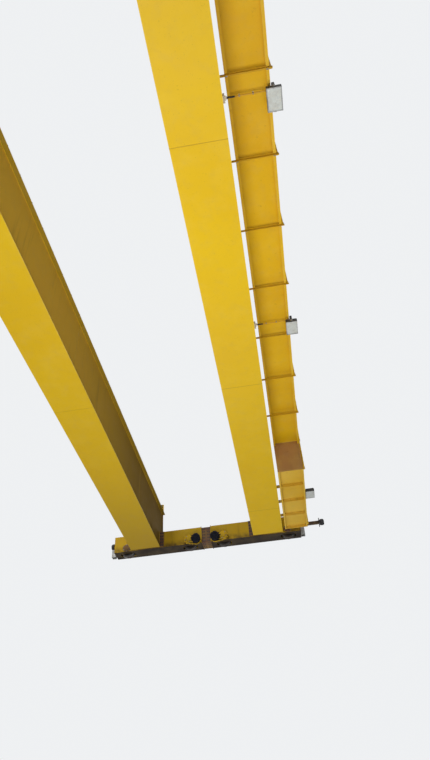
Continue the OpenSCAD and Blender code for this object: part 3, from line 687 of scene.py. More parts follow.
def prism(outline, width, bevel):
    # An outline in X and Z, anticlockwise seen along +Y, carried along Y; the ends shrink by the bevel
    flat = np.array(outline, float)
    centre = flat.mean(0)
    reach = np.abs(flat - centre).max()
    small = centre + (flat - centre) * (1 - bevel / reach)
    steps = [(small, -width / 2), (flat, -width / 2 + bevel), (flat, width / 2 - bevel), (small, width / 2)]
    rings = [np.stack([o[:, 0], np.full(len(o), y), o[:, 1]], -1)[::-1] for o, y in steps]
    return loft(rings)


def block(a, b, bevel):
    # A box between its low corner a and its high corner b, bevelled at both ends along Y
    a, b = np.array(a, float), np.array(b, float)
    outline = [(a[0], a[2]), (b[0], a[2]), (b[0], b[2]), (a[0], b[2])]
    return copies(prism(outline, b[1] - a[1], bevel), [(0, (a[1] + b[1]) / 2, 0)])


weldStep = 0.15                                       # metres between the rings of a weld
beadBulge = 0.86                                      # the middle of a bead's section against a full circle
beadSwell = (0.07, 37.0, 0.05, 91.0)                  # two waves along a weld: share of size, radians a metre
seamSwell = (0.08, 41.0, 0.05, 83.0)
seamPoints = 7                                        # across a seam's crown


def alongRun(start, end, across, size, swell):
    # A section of points carried along a straight run. It swells a little on the way,
    # as size (1 + p sin f s + q sin g s) with swell = (p, f, q, g).
    length = np.linalg.norm(end - start)
    s = np.linspace(0.0, length, max(int(length / weldStep), 1) + 1)
    p, f, q, g = swell
    sizes = size * (1 + p * np.sin(f * s) + q * np.sin(g * s))
    rings = start + s[:, None, None] * unit(end - start) + sizes[:, None, None] * across[None]
    return loft(rings)


def bead(start, end, sideA, sideB, leg):
    # A fillet weld: from the corner out along both plates by the leg, with a bulge between them.
    # Its curve is a quarter circle, (cos t, sin t) for t from 0 to pi / 2, flattened in the middle.
    start, end = np.array(start, float), np.array(end, float)
    sideA, sideB = np.array(sideA, float), np.array(sideB, float)
    t = np.array([0.0, 0.25, 0.5, 0.75, 1.0]) * math.pi / 2
    curve = np.concatenate([[[0.0, 0.0]], np.stack([np.cos(t), np.sin(t)], -1)])
    curve[2:5] *= beadBulge
    if np.dot(np.cross(sideA, sideB), end - start) < 0:
        curve = curve[::-1]
    across = curve[:, :1] * sideA + curve[:, 1:] * sideB
    return alongRun(start, end, across, leg, beadSwell)


def seam(start, end, width, outward, proud):
    # A butt weld on a plate: a low crown across, half an ellipse, along a straight run
    start, end = np.array(start, float), np.array(end, float)
    outward = np.array(outward, float)
    t = np.linspace(0.0, math.pi, seamPoints)
    crown = np.stack([-np.cos(t) * width / 2, np.sin(t) * proud], -1)
    across = crown[:, :1] * np.cross(unit(end - start), outward) + crown[:, 1:] * outward
    return alongRun(start, end, across, 1.0, seamSwell)


def rod(path, radius, corners):
    # A circle carried along a path, square to it at every point
    path = np.asarray(path, float)
    ahead = np.gradient(path, axis=0)
    ahead /= np.linalg.norm(ahead, axis=1)[:, None]
    start = np.cross(ahead[0], (0.3, 0.5, 0.81))      # any direction across the start of the path
    flat = start[None] - ahead * (ahead @ start)[:, None]
    flat /= np.linalg.norm(flat, axis=1)[:, None]
    other = np.cross(ahead, flat)
    a = np.arange(corners) * 2 * math.pi / corners
    across = np.cos(a)[None, :, None] * flat[:, None] + np.sin(a)[None, :, None] * other[:, None]
    return loft(path[:, None] + radius * across)


hexagon = 6
# Shares of a head's width over its flats
boltShare = {"head": 0.42, "shoulder": 0.82, "crown": 0.86, "washer": 0.12, "washerR": 0.98}
studShare = {"radius": 0.31, "from": 0.54, "shoulder": 0.26, "end": 0.32, "taper": 0.8}


def boltShape(across, washer=True):
    # A hexagon head on a round washer, standing on Z = 0; across is the width over the flats
    b = boltShare
    corner = across / math.sqrt(3)
    tall = across * b["head"]
    foot = across * b["washer"] if washer else 0.0
    shoulder = foot + tall * b["shoulder"]
    head = lathe([(corner, foot), (corner, shoulder), (corner * b["crown"], foot + tall)], hexagon)
    if not washer:
        return head
    washerR = across * b["washerR"]
    return joined([lathe([(washerR, 0.0), (washerR, foot)], corners=12), head])


def studShape(across):
    # A nut on a washer with the end of its stud, standing on Z = 0
    s = studShare
    r = across * s["radius"]
    top = across * s["from"]
    stud = [(r, top), (r, top + across * s["shoulder"]), (r * s["taper"], top + across * s["end"])]
    return joined([boltShape(across), lathe(stud, corners=8)])


def boltsOn(places, direction, across, washer=True):
    # One head at every place, turned to face a direction
    return copies(boltShape(across, washer), places, facing(direction))


sharpAngle = 38.0                                     # degrees: smooth pieces keep their sharper edges


def piece(name, shape, mat, smooth=False):
    # Puts a shape into a mesh at the origin and lets it ride on the bridge
    points, loops, sizes = shape
    mesh = bpy.data.meshes.new(name)
    mesh.vertices.add(len(points))
    mesh.vertices.foreach_set("co", points.astype(np.float32).reshape(-1))
    mesh.loops.add(len(loops))
    mesh.loops.foreach_set("vertex_index", loops.astype(np.int32))
    mesh.polygons.add(len(sizes))
    mesh.polygons.foreach_set("loop_start", np.concatenate([[0], np.cumsum(sizes)[:-1]]).astype(np.int32))
    mesh.polygons.foreach_set("use_smooth", np.full(len(sizes), smooth))
    mesh.update(calc_edges=True)
    mesh.validate()
    mesh.materials.append(mat)
    obj = bpy.data.objects.new(name, mesh)
    scene.collection.objects.link(obj)
    if smooth:
        mesh.set_sharp_from_angle(angle=math.radians(sharpAngle))
    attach(obj, "root")


print("shapes ready")


# Where things are, read from the frame
middleX = (low("right_bottom_flange")[0] + high("left_bottom_flange")[0]) / 2
flangeTop = high("right_bottom_flange")[2]
webTop = low("right_top_flange")[2]
girderTop = high("right_top_flange")[2]
seatTop = levels("right_inner_web", 2)[1]
seatY, noseY = levels("right_inner_web", 1)[-2:]      # the girder's end, and the end of its nose on the seat
carriageFace = low("far_right_carriage")[1]
axleZ = (low("far_right_bearings")[2] + high("far_right_bearings")[2]) / 2
walkX = low("walkway_floor")[0]
walkOut = high("walkway_floor")[0]
walkZ = low("walkway_inner_channel")[2]
landingFloor = levels("far_landing", 2)[-1]
bracketPlates = runs("walkway_brackets", 1, 0.3)

# Finishes that more than one kind of detail has
# deep darkens the weld paint as painted shade
weldPaint = enamel("weld_paint", dust=0.55, dirtRuns=0.2, rust=0.15, tint=0.6, wave=0.0, chalkAndHighlight=0.0, deep=0.3)
walkWeldPaint = enamel("walkway_weld_paint", dust=0.55, dirtRuns=0.2, rust=0.5, tint=1.0, wave=0.0, chalkAndHighlight=0.0)
boltZinc = bareMetal("bolt_zinc", (0.26, 0.24, 0.21), rough=0.42, metallic=0.75, rust=0.45)
boltDark = bareMetal("bolt_dark", (0.055, 0.048, 0.045), rough=0.45, metallic=0.3, rust=0.35, dust=0.4)
smallLeg = 0.006                                      # metres, the small welds of the walkway


# Girders: welds and seams, in metres
girderWeld = {
    "leg": 0.009, "seam": 0.014, "proud": 0.0022, "underProud": 0.6,
    "inner": (-9.0, -3.0, 3.0, 9.0), "outer": (-6.0, 0.0, 6.0), "under": (-7.4, -1.6, 4.4, 10.2),
}


def webFaces(side):
    # The outer face of each web of a girder, and which way along X it looks
    s = sides[side]
    inner = low(f"{side}_inner_web")[0] if s > 0 else high(f"{side}_inner_web")[0]
    outer = high(f"{side}_outer_web")[0] if s > 0 else low(f"{side}_outer_web")[0]
    return [("inner", inner, -s), ("outer", outer, s)]


def girderWelds(side):
    # Along both flanges, and round the step over the carriage, on the outside of both webs
    leg = girderWeld["leg"]
    up, down = (0, 0, 1), (0, 0, -1)
    shapes = []
    for _, x, outward in webFaces(side):
        out = (outward, 0, 0)
        shapes.append(bead((x, -seatY, flangeTop), (x, seatY, flangeTop), out, up, leg))
        shapes.append(bead((x, -noseY, webTop), (x, noseY, webTop), out, down, leg))
        for e in ends.values():
            back = (0, -e, 0)
            shapes.append(bead((x, e * seatY, flangeTop), (x, e * seatY, seatTop), out, back, leg))
            shapes.append(bead((x, e * seatY, seatTop), (x, e * noseY, seatTop), out, up, leg))
            shapes.append(bead((x, e * noseY, seatTop), (x, e * noseY, webTop), out, back, leg))
    return joined(shapes)


def girderSeams(side):
    # Butt welds where the plates were lengthened: staggered between the webs, and under the flange
    width, proud = girderWeld["seam"], girderWeld["proud"]
    shapes = []
    for web, x, outward in webFaces(side):
        for y in girderWeld[web]:
            shapes.append(seam((x, y, flangeTop), (x, y, webTop), width, (outward, 0, 0), proud))
    a, b = low(f"{side}_bottom_flange"), high(f"{side}_bottom_flange")
    underProud = proud * girderWeld["underProud"]
    for y in girderWeld["under"]:
        shapes.append(seam((a[0], y, a[2]), (b[0], y, a[2]), width, (0, 0, -1), underProud))
    return joined(shapes)


for side in sides:
    piece(f"{side}_girder_welds", girderWelds(side), weldPaint, True)
    piece(f"{side}_girder_seams", girderSeams(side), weldPaint, True)
print("girder welds made")


# Crab rails: clips on both sides of the foot, each with its stud
crabClip = {
    "profile": [(0.0005, 0.0), (0.038, 0.0), (0.038, 0.014), (0.026, 0.019), (-0.010, 0.019),
                (-0.016, 0.016), (-0.016, 0.0107), (0.0005, 0.0075)],
    "top": 0.019, "bevel": 0.002, "length": 0.050, "pitch": 0.60, "endRoom": 0.4,
    "stud": 0.024, "studAt": 0.019,
}


def railClips():
    # At a pitch from the middle of the rail out to both ends, turned round for the other side
    c = crabClip
    clip = prism(c["profile"], c["length"], c["bevel"])
    stud = copies(studShape(c["stud"]), [(c["studAt"], 0, c["top"])])
    clips, studs = [], []
    for side in sides:
        a, b = low(f"{side}_crab_rail"), high(f"{side}_crab_rail")
        count = int((b[1] - a[1] - c["endRoom"]) / c["pitch"])
        ys = (np.arange(count + 1) - count / 2) * c["pitch"]
        for edge, way in ((b[0], 1.0), (a[0], -1.0)):
            places = grid([edge], ys, [girderTop])
            turn = np.diag((way, way, 1.0))
            clips.append(copies(clip, places, turn))
            studs.append(copies(stud, places, turn))
    return joined(clips), joined(studs)


clips, studs = railClips()
piece("crab_rail_clips", clips, boltDark)
piece("crab_rail_clip_studs", studs, boltZinc)


# Joint plates and seats of the girders
jointBolt = {"across": 0.030, "rows": 5, "fromBottom": 0.05, "fromSeat": 0.08, "shares": (0.25, 0.75)}
seatBolt = {"across": 0.018, "pitch": 0.11, "lip": 0.0195, "fromJoint": 0.08, "fromNose": 0.05}


def jointBolts():
    # Two upright rows on each joint plate, which faces into the span beside the girder's end.
    # They stand at shares of the way from the plate's edge to the girder.
    j = jointBolt
    shapes = []
    for side, s in sides.items():
        plates, flange = f"{side}_end_plates", f"{side}_bottom_flange"
        edge = low(plates)[0] if s > 0 else high(plates)[0]
        inner = low(flange)[0] if s > 0 else high(flange)[0]
        xs = edge + (inner - edge) * np.array(j["shares"])
        zs = np.linspace(low(plates)[2] + j["fromBottom"], seatTop - j["fromSeat"], j["rows"])
        for e in ends.values():
            shapes.append(boltsOn(grid(xs, [e * seatY], zs), (0, -e, 0), j["across"]))
    return joined(shapes)


def seatBolts():
    # A row on each lip of the seat plates, on top of the carriages
    b = seatBolt
    shapes = []
    ys = np.arange(seatY + b["fromJoint"], noseY - b["fromNose"], b["pitch"])
    for side in sides:
        for _, x, outward in webFaces(side):
            for e in ends.values():
                places = grid([x + outward * b["lip"]], e * ys, [seatTop])
                shapes.append(boltsOn(places, (0, 0, 1), b["across"]))
    return joined(shapes)


piece("joint_plate_bolts", jointBolts(), boltDark)
piece("seat_bolts", seatBolts(), boltZinc)


# Bearings of the wheels
bearingBolt = {"across": 0.019, "radius": 0.107, "count": 6, "flange": 0.020, "housing": 0.035, "apart": 0.3}


def onCircle(centre, radius, angles):
    # Points round a centre in X and Z: x = r cos a, z = r sin a
    return np.stack([centre[0] + radius * np.cos(angles), centre[1] + radius * np.sin(angles)], 1)


def turns(count):
    # Equal steps round a circle, the first at half a step: a = (i + 1/2) 2 pi / count
    return (np.arange(count) + 0.5) * 2 * math.pi / count


def atY(flat, y):
    # Points in X and Z, stood at one Y
    return np.stack([flat[:, 0], np.full(len(flat), y), flat[:, 1]], 1)


def bearingCentres(end, side):
    # X of both wheels of a carriage half: the middle of each stretch of its bearings
    return [sum(run) / 2 for run in runs(f"{end}_{side}_bearings", 0, bearingBolt["apart"])]


def bearingBolts():
    # A ring of bolts on each bearing's flange, on both sides of the carriage
    b = bearingBolt
    shapes = []
    proud = b["housing"] - b["flange"]
    for end, e in ends.items():
        for side in sides:
            node = f"{end}_{side}_bearings"
            inward = high(node)[1] if e < 0 else low(node)[1]
            outward = low(node)[1] if e < 0 else high(node)[1]
            for x in bearingCentres(end, side):
                ring = onCircle((x, axleZ), b["radius"], turns(b["count"]))
                for y, look in ((inward + e * proud, -e), (outward - e * proud, e)):
                    shapes.append(boltsOn(atY(ring, y), (0, look, 0), b["across"]))
    return joined(shapes)


piece("bearing_bolts", bearingBolts(), boltZinc)


# Travel drives: gear case, fan cowl and terminal box, in metres
caseTrim = {
    "bosses": 14, "boss": [(0.017, -0.024), (0.017, 0.0), (0.015, 0.002)], "bolt": 0.013, "boltSunk": 0.002,
    "capBolts": 6, "capBolt": 0.010, "capRadius": 0.055,
    "plugs": [(0.105, -0.035), (0.070, 0.085), (-0.020, -0.112)], "plug": 0.019,
    "ribTurns": (math.pi / 4, math.pi / 2, math.pi * 3 / 4),
    "ribLean": 1.57,                                  # radians that lay the middle rib level
    "ribFrom": 0.50, "ribTo": 0.93, "ribR": 0.007,
    "eyeR": 0.020, "eyeWire": 0.006, "eyeOpen": 0.35, "eyeUp": 0.030, "eyeSunk": 0.004, "eyeSteps": 17,
    "eyeFoot": [(0.020, 0.0), (0.020, 0.010), (0.014, 0.016)], "arcSteps": 90,
}
cowlTrim = {
    "spokes": 16, "spokeFrom": 0.052, "spokeTo": 0.102, "spokeR": 0.0022, "proud": 0.003,
    "rings": (0.058, 0.062, 0.091, 0.095, 0.099), "ringR": 0.0014, "ringSteps": 49,
    "screwAngles": (0.8, 2.34, 3.94, 5.48), "screwCircle": 0.151, "screwBack": 0.048, "screw": 0.011,
}
terminalTrim = {
    "half": 0.056, "above": 0.16, "over": 0.004, "thick": 0.008, "bevel": 0.002,
    "screwIn": 0.008, "screw": 0.009, "glandDown": 0.022,
    "gland": [(0.014, 0.0), (0.014, 0.014), (0.011, 0.016), (0.011, 0.026), (0.008, 0.030)],
}
# deep darkens the case paint as painted shade
caseCoat = enamel("case_enamel", dust=0.5, dirtRuns=0.2, tint=0.8, rust=0.2, deep=0.15, wave=0.0, chalkAndHighlight=0.0)
motorCoat = bareMetal("motor_fitting_coat", **{**motorLook, "base": (0.003, 0.004, 0.012)})


def driveFacts(end, side):
    # Centres of axle and motor, the fan's face, the terminal box, and which way along X the axle lies
    fanY, (a, b) = fanFace(end, side)
    motor = ((a[0] + b[0]) / 2, (a[2] + b[2]) / 2)
    axle = min(bearingCentres(end, side), key=lambda x: abs(x - middleX))
    points = pointsOf(f"{end}_{side}_drive")
    beside = np.abs(points[:, 0] - motor[0]) < terminalTrim["half"]
    box = points[beside & (points[:, 2] > motor[1] + terminalTrim["above"])]
    return {"e": ends[end], "fanY": fanY, "motor": motor, "axle": (axle, axleZ),
            "out": math.copysign(1.0, axle - middleX), "terminal": (box.min(0), box.max(0))}


def caseOutline(axle, motor, count):
    # Places at equal steps along two circles joined by their outer tangents.
    # A tangent leaves a circle at the angle acos((R - r) / d) from the line between the centres.
    a, b = np.array(axle), np.array(motor)
    gap = b - a
    turn = math.atan2(gap[1], gap[0])
    lean = math.acos((gearCase["axleR"] - gearCase["motorR"]) / np.linalg.norm(gap))
    first = np.linspace(turn + lean, turn + 2 * math.pi - lean, caseTrim["arcSteps"])
    second = np.linspace(turn - lean, turn + lean, caseTrim["arcSteps"])
    path = np.concatenate([onCircle(a, gearCase["axleR"], first), onCircle(b, gearCase["motorR"], second)])
    path = np.concatenate([path, path[:1]])
    run = np.concatenate([[0.0], np.cumsum(np.linalg.norm(np.diff(path, axis=0), axis=1))])
    s = (np.arange(count) + 0.5) / count * run[-1]
    return np.stack([np.interp(s, run, path[:, 0]), np.interp(s, run, path[:, 1])], 1)


def caseFittings(drive):
    # Bosses with bolts round the lip, the cap's bolts, plugs, ribs on the front, and a lifting eye
    t = caseTrim
    e, look, out = drive["e"], (0, -drive["e"], 0), drive["out"]
    x, z = drive["axle"]
    back = e * carriageFace - e * gearCase["back"]
    front = back - e * gearCase["thick"]
    lip = back - e * (gearCase["thick"] * gearCase["lipAt"] + gearCase["lip"])
    ring = caseOutline(drive["axle"], drive["motor"], t["bosses"])
    capRing = atY(onCircle((x, z), t["capRadius"], turns(t["capBolts"])), front - e * gearCase["cap"])
    castings = [copies(lathe(t["boss"], corners=14), atY(ring, lip), facing(look)),
                boltsOn(atY(ring, lip - e * t["boltSunk"]), look, t["bolt"]),
                boltsOn(capRing, look, t["capBolt"], False)]
    for turn in t["ribTurns"]:
        way = np.array([out * math.cos(turn - t["ribLean"]), math.sin(turn - t["ribLean"])])
        rib = np.array([(x, z) + gearCase["axleR"] * share * way for share in (t["ribFrom"], t["ribTo"])])
        castings.append(rod(atY(rib, front), t["ribR"], corners=8))
    top = z + gearCase["axleR"] - t["eyeSunk"]
    middle = (back + front) / 2
    angles = np.linspace(-t["eyeOpen"], math.pi + t["eyeOpen"], t["eyeSteps"])
    eye = atY(onCircle((x, top + t["eyeUp"]), t["eyeR"], angles), middle)
    castings.append(rod(eye, t["eyeWire"], corners=8))
    castings.append(copies(lathe(t["eyeFoot"], corners=16), [(x, middle, top)]))
    plugs = np.array([(x + out * across, z + up) for across, up in t["plugs"]])
    return castings, [boltsOn(atY(plugs, front), look, t["plug"])]


def cowlFittings(drive):
    # Spokes and rings of wire in front of the fan, and the screws round the cowl
    t = cowlTrim
    y = drive["fanY"] + drive["e"] * t["proud"]
    wires = []
    for a in turns(t["spokes"]):
        spoke = [onCircle(drive["motor"], r, np.array([a]))[0] for r in (t["spokeFrom"], t["spokeTo"])]
        wires.append(rod(atY(np.array(spoke), y), t["spokeR"], corners=6))
    for r in t["rings"]:
        circle = onCircle(drive["motor"], r, np.linspace(0, 2 * math.pi, t["ringSteps"]))
        wires.append(rod(atY(circle, y), t["ringR"], corners=5))
    screws = []
    circle = onCircle(drive["motor"], t["screwCircle"], np.array(t["screwAngles"]))
    for place in atY(circle, drive["fanY"] + drive["e"] * t["screwBack"]):
        way = (place[0] - drive["motor"][0], 0, place[2] - drive["motor"][1])
        screws.append(boltsOn([place], way, t["screw"], False))
    return wires, screws


def terminalFittings(drive):
    # The lid of the terminal box with a screw in each corner, and the gland of its lead
    t = terminalTrim
    a, b = drive["terminal"]
    over, screwIn = t["over"], t["screwIn"]
    top = b[2] + t["thick"]
    lid = block((a[0] - over, a[1] - over, b[2]), (b[0] + over, b[1] + over, top), t["bevel"])
    corners = grid((a[0] + screwIn, b[0] - screwIn), (a[1] + screwIn, b[1] - screwIn), [top])
    place = (a[0] if drive["out"] > 0 else b[0], (a[1] + b[1]) / 2, b[2] - t["glandDown"])
    gland = copies(lathe(t["gland"], corners=12), [place], facing((-drive["out"], 0, 0)))
    return [lid, gland], [boltsOn(corners, (0, 0, 1), t["screw"], False)]


for end in ends:
    for side in sides:
        drive = driveFacts(end, side)
        castings, plugs = caseFittings(drive)
        wires, cowlScrews = cowlFittings(drive)
        covers, lidScrews = terminalFittings(drive)
        name = f"{end}_{side}_drive"
        piece(name + "_castings", joined(castings), caseCoat, True)
        piece(name + "_covers", joined(wires + covers), motorCoat, True)
        piece(name + "_bolts", joined(plugs + cowlScrews + lidScrews), boltZinc)
print("drive fittings made")


# Splices and buffers
spliceBolt = {"across": 0.024, "fromEnd": (0.040, 0.095), "edge": 0.055, "rows": 5, "underRows": 4}
bufferBolt = {"across": 0.024, "at": 0.088, "base": 0.016, "inFromGuard": 0.075, "plateFromGuard": 0.13}


def spliceBolts():
    # Two rows across near each end of the splice, on both sides, on top and underneath
    s = spliceBolt
    shapes = []
    for end in ends:
        a, b = low(f"{end}_splice"), high(f"{end}_splice")
        xs = [a[0] + x for x in s["fromEnd"]] + [b[0] - x for x in reversed(s["fromEnd"])]
        zs = np.linspace(a[2] + s["edge"], b[2] - s["edge"], s["rows"])
        for y, look in ((a[1], -1), (b[1], 1)):
            shapes.append(boltsOn(grid(xs, [y], zs), (0, look, 0), s["across"]))
        ys = np.linspace(a[1] + s["edge"], b[1] - s["edge"], s["underRows"])
        for z, look in ((a[2], -1), (b[2], 1)):
            shapes.append(boltsOn(grid(xs, ys, [z]), (0, 0, look), s["across"]))
    return joined(shapes)


def bufferBolts():
    # Four on each base plate, on the side of the rubber
    b = bufferBolt
    shapes = []
    z = (low("buffer_arms")[2] + high("buffer_arms")[2]) / 2
    arm = high("buffer_arms")[0] + b["base"]
    guard = low("rail_guards")[0] + b["plateFromGuard"] - b["base"]
    for e in ends.values():
        y = (low("rail_guards")[1] if e < 0 else high("rail_guards")[1]) - e * b["inFromGuard"]
        for x, look in ((arm, 1), (guard, -1)):
            places = grid([x], (y - b["at"], y + b["at"]), (z - b["at"], z + b["at"]))
            shapes.append(boltsOn(places, (look, 0, 0), b["across"]))
    return joined(shapes)


piece("splice_bolts", spliceBolts(), boltDark)
piece("buffer_bolts", bufferBolts(), boltZinc)


# Walkway: brackets, in metres
bracketTrim = {"bolt": 0.024, "fromEdge": 0.028, "offPlate": 0.006, "flange": 0.008, "leg": 0.008}


def bracketBolts():
    # Through each channel's bottom flange and the bracket, seen from below
    t = bracketTrim
    xs = (walkX + t["fromEdge"], walkOut - t["fromEdge"])
    shapes = []
    for near, far in bracketPlates:
        places = grid(xs, [(near + far) / 2 + t["offPlate"]], [walkZ - t["flange"]])
        shapes.append(boltsOn(places, (0, 0, -1), t["bolt"]))
    return joined(shapes)


def bracketWelds():
    # Down both sides of each bracket's leg, and under its flange, on the girder's web
    x, _, foot = low("walkway_brackets")
    under = walkZ - bracketTrim["flange"]
    out, back, ahead, down = (1, 0, 0), (0, -1, 0), (0, 1, 0), (0, 0, -1)
    shapes = []
    for near, far in bracketPlates:
        inside = near + bracketTrim["leg"]
        shapes.append(bead((x, near, foot), (x, near, walkZ), out, back, smallLeg))
        shapes.append(bead((x, inside, foot), (x, inside, under), out, ahead, smallLeg))
        shapes.append(bead((x, inside, under), (x, far, under), out, down, smallLeg))
    return joined(shapes)


piece("bracket_bolts", bracketBolts(), boltZinc)
piece("bracket_welds", bracketWelds(), walkWeldPaint, True)


# Handrails: posts, their caps and bolts, and the welds of the rails, in metres
railR = 0.017
postTrim = {
    "bolt": 0.019, "boltUp": (0.022, 0.062), "slack": 0.002,
    "collar": [(railR, 0.0), (railR + 0.005, 0.0), (railR + 0.004, 0.004), (railR, 0.007)],
    "railGap": 0.02, "railLeast": 0.03, "capOver": 0.001, "capDown": 0.002, "capUp": 0.003, "capBevel": 0.001,
}


def postPlaces(node):
    # The middle of each post along Y: neighbouring levels that are a post's width apart
    ys = levels(node, 1)
    width = high(node)[0] - low(node)[0]
    return [(a + b) / 2 for a, b in zip(ys[:-1], ys[1:]) if abs(b - a - width) < postTrim["slack"]]


def railHeights(node):
    # The centre of each round rail: a dense stretch of levels, at least a rail's diameter tall
    stretches = runs(node, 2, postTrim["railGap"])
    return [run[0] + railR for run in stretches if run[1] - run[0] > postTrim["railLeast"]]


def postBolts():
    # Two through each post's foot, on its outer face
    shapes = []
    for node in handrails:
        zs = low(node)[2] + np.array(postTrim["boltUp"])
        for y in postPlaces(node):
            shapes.append(boltsOn(grid([high(node)[0]], [y], zs), (1, 0, 0), postTrim["bolt"]))
    return joined(shapes)


def railCollars():
    # A bead of weld round each rail where it meets a post, and a cap on each post
    t = postTrim
    collar = lathe(t["collar"], corners=16)
    shapes = []
    for node in handrails:
        a, b = low(node), high(node)
        x = (a[0] + b[0]) / 2
        half = (b[0] - a[0]) / 2
        over = half + t["capOver"]
        for y in postPlaces(node):
            for z in railHeights(node):
                shapes.append(copies(collar, [(x, y + half, z)], facing((0, 1, 0))))
                shapes.append(copies(collar, [(x, y - half, z)], facing((0, -1, 0))))
            capLow = (x - over, y - over, b[2] - t["capDown"])
            capHigh = (x + over, y + over, b[2] + t["capUp"])
            shapes.append(block(capLow, capHigh, t["capBevel"]))
    return joined(shapes)


piece("post_bolts", postBolts(), boltZinc)
piece("rail_collars", railCollars(), weldPaint, True)


# Landings and the risers down to them, in metres
landingTrim = {
    "bar": 0.008, "slack": 0.001, "gap": 0.02, "across": (0.045, 0.110), "up": 0.025, "bolt": 0.019,
}
riserTrim = {
    "plate": 0.008, "rung": 0.025, "rungsBeyond": 0.10, "rungGap": 0.05,
    "root": [(0.0125, 0.0), (0.0185, 0.0), (0.0170, 0.004), (0.0125, 0.007)],
}
# The riser welds' brown base is painted shade, as on the risers
riserWeldPaint = enamel("riser_weld_paint", base="brown", dust=0.7, rust=0.3, tint=0.15, wave=0.0, chalkAndHighlight=0.0)


def landingBolts():
    # Through the cleats that hold each landing off the girder, on both sides of each cross bar
    t = landingTrim
    shapes = []
    for end in ends:
        node = f"{end}_landing"
        a, b = low(node), high(node)
        z = (a[2] + b[2]) / 2
        xs = a[0] + np.array(t["across"])
        for near, far in runs(node, 1, t["gap"]):
            if abs(far - near - t["bar"]) < t["slack"]:
                for y, look in ((near, -1), (far, 1)):
                    places = grid(xs, [y], (z - t["up"], z + t["up"]))
                    shapes.append(boltsOn(places, (0, look, 0), t["bolt"]))
    return joined(shapes)


def riserWelds():
    # Along the foot of each riser, on the landing's floor, and round the roots of its rungs
    t = riserTrim
    root = lathe(t["root"], corners=16)
    shapes = []
    for end, e in ends.items():
        a, b = low(f"{end}_riser"), high(f"{end}_riser")
        face = min(abs(a[1]), abs(b[1])) + t["plate"]
        foot = [(x, e * face, landingFloor) for x in (a[0], b[0])]
        shapes.append(bead(foot[0], foot[1], (0, e, 0), (0, 0, 1), smallLeg))
        points = pointsOf(f"{end}_riser")
        rungs = points[np.abs(points[:, 1]) > face + t["rungsBeyond"]]
        xs = (rungs[:, 0].min() + t["rung"] / 2, rungs[:, 0].max() - t["rung"] / 2)
        for zs in split(np.unique(np.round(rungs[:, 2], reading["digits"])), t["rungGap"]):
            places = grid(xs, [e * face], [(zs[0] + zs[-1]) / 2])
            shapes.append(copies(root, places, facing((0, e, 0))))
    return joined(shapes)


piece("landing_bolts", landingBolts(), boltZinc)
piece("riser_welds", riserWelds(), riserWeldPaint, True)
print("walkway fittings made")


# Floodlights, in metres
lampTrim = {
    "edge": 0.014, "lip": 0.018, "proud": 0.004, "sunk": 0.002, "bevel": 0.0015, "screw": 0.010,
    "armOut": 0.022, "knobUp": 0.042, "knob": 0.026, "glandUp": 0.084, "apart": 0.6,
    "knobPlate": [(0.034, 0.0), (0.034, 0.004), (0.031, 0.005)],
    "gland": [(0.020, 0.0), (0.020, 0.012), (0.017, 0.014), (0.017, 0.026), (0.015, 0.028)],
}
frameCoat = bareMetal("lamp_frame_coat", (0.500, 0.520, 0.520), rough=0.42, rust=0.02, dust=0.25)
glandCoat = bareMetal("gland_coat", (0.018, 0.018, 0.019), rough=0.6, rust=0.0, dust=0.3)

# Their leads: conduits from junction boxes on the girder, in metres
conduitR = 0.013
leadTrim = {
    "apart": 0.1, "screwAt": 0.052, "screw": 0.009,
    "ring": [(conduitR, 0.0), (0.0155, 0.0), (0.0155, 0.018), (conduitR, 0.018)], "ringBack": 0.034,
    "saddles": 3, "saddleFrom": 0.24, "saddleTo": 0.06, "saddleHalf": 0.026, "saddleLong": 0.018,
    "saddleLow": 0.0085, "saddleHigh": 0.0125, "saddleBevel": 0.001,
    "entry": [(0.040, 0.0), (0.040, 0.010), (0.037, 0.020), (0.030, 0.029), (0.022, 0.034)],
    "nut": [(0.021, 0.034), (0.021, 0.042), (0.018, 0.044)],
    "sleeve": [(0.0132, 0.042), (0.0150, 0.044), (0.0155, 0.150), (0.0142, 0.172), (0.0132, 0.174)],
}


def conduitLeads():
    # X of the outer end and Y of the middle of each lamp's conduit
    leads = []
    for run in runs("lamp_conduits", 1, leadTrim["apart"]):
        _, b = within("lamp_conduits", 1, run)
        leads.append((b[0] - conduitR, (run[0] + run[1]) / 2))
    return leads


def lampBoxes():
    # Low and high corner of each lamp's glass
    return [within("floodlight_glasses", 1, run) for run in runs("floodlight_glasses", 1, lampTrim["apart"])]


def lampFrames():
    # A frame of four bars round each glass, a little prouder than the housing, with eight screws in it
    t = lampTrim
    edge, lip = t["edge"], t["lip"]
    frames, screws = [], []
    for a, b in lampBoxes():
        z = a[2] - t["sunk"]
        face = z - t["proud"]
        x0, x1, y0, y1 = a[0] - edge, b[0] + edge, a[1] - edge, b[1] + edge
        bars = (((x0, y0), (x1, y0 + lip)), ((x0, y1 - lip), (x1, y1)),
                ((x0, y0 + lip), (x0 + lip, y1 - lip)), ((x1 - lip, y0 + lip), (x1, y1 - lip)))
        for (barX0, barY0), (barX1, barY1) in bars:
            frames.append(block((barX0, barY0, face), (barX1, barY1, z), t["bevel"]))
        xs = (x0 + lip / 2, x1 - lip / 2)
        ys = (y0 + lip / 2, y1 - lip / 2)
        places = np.concatenate([grid(xs, (ys[0], (y0 + y1) / 2, ys[1]), [face]),
                                 grid([(x0 + x1) / 2], ys, [face])])
        screws.append(boltsOn(places, (0, 0, -1), t["screw"], False))
    return joined(frames), joined(screws)


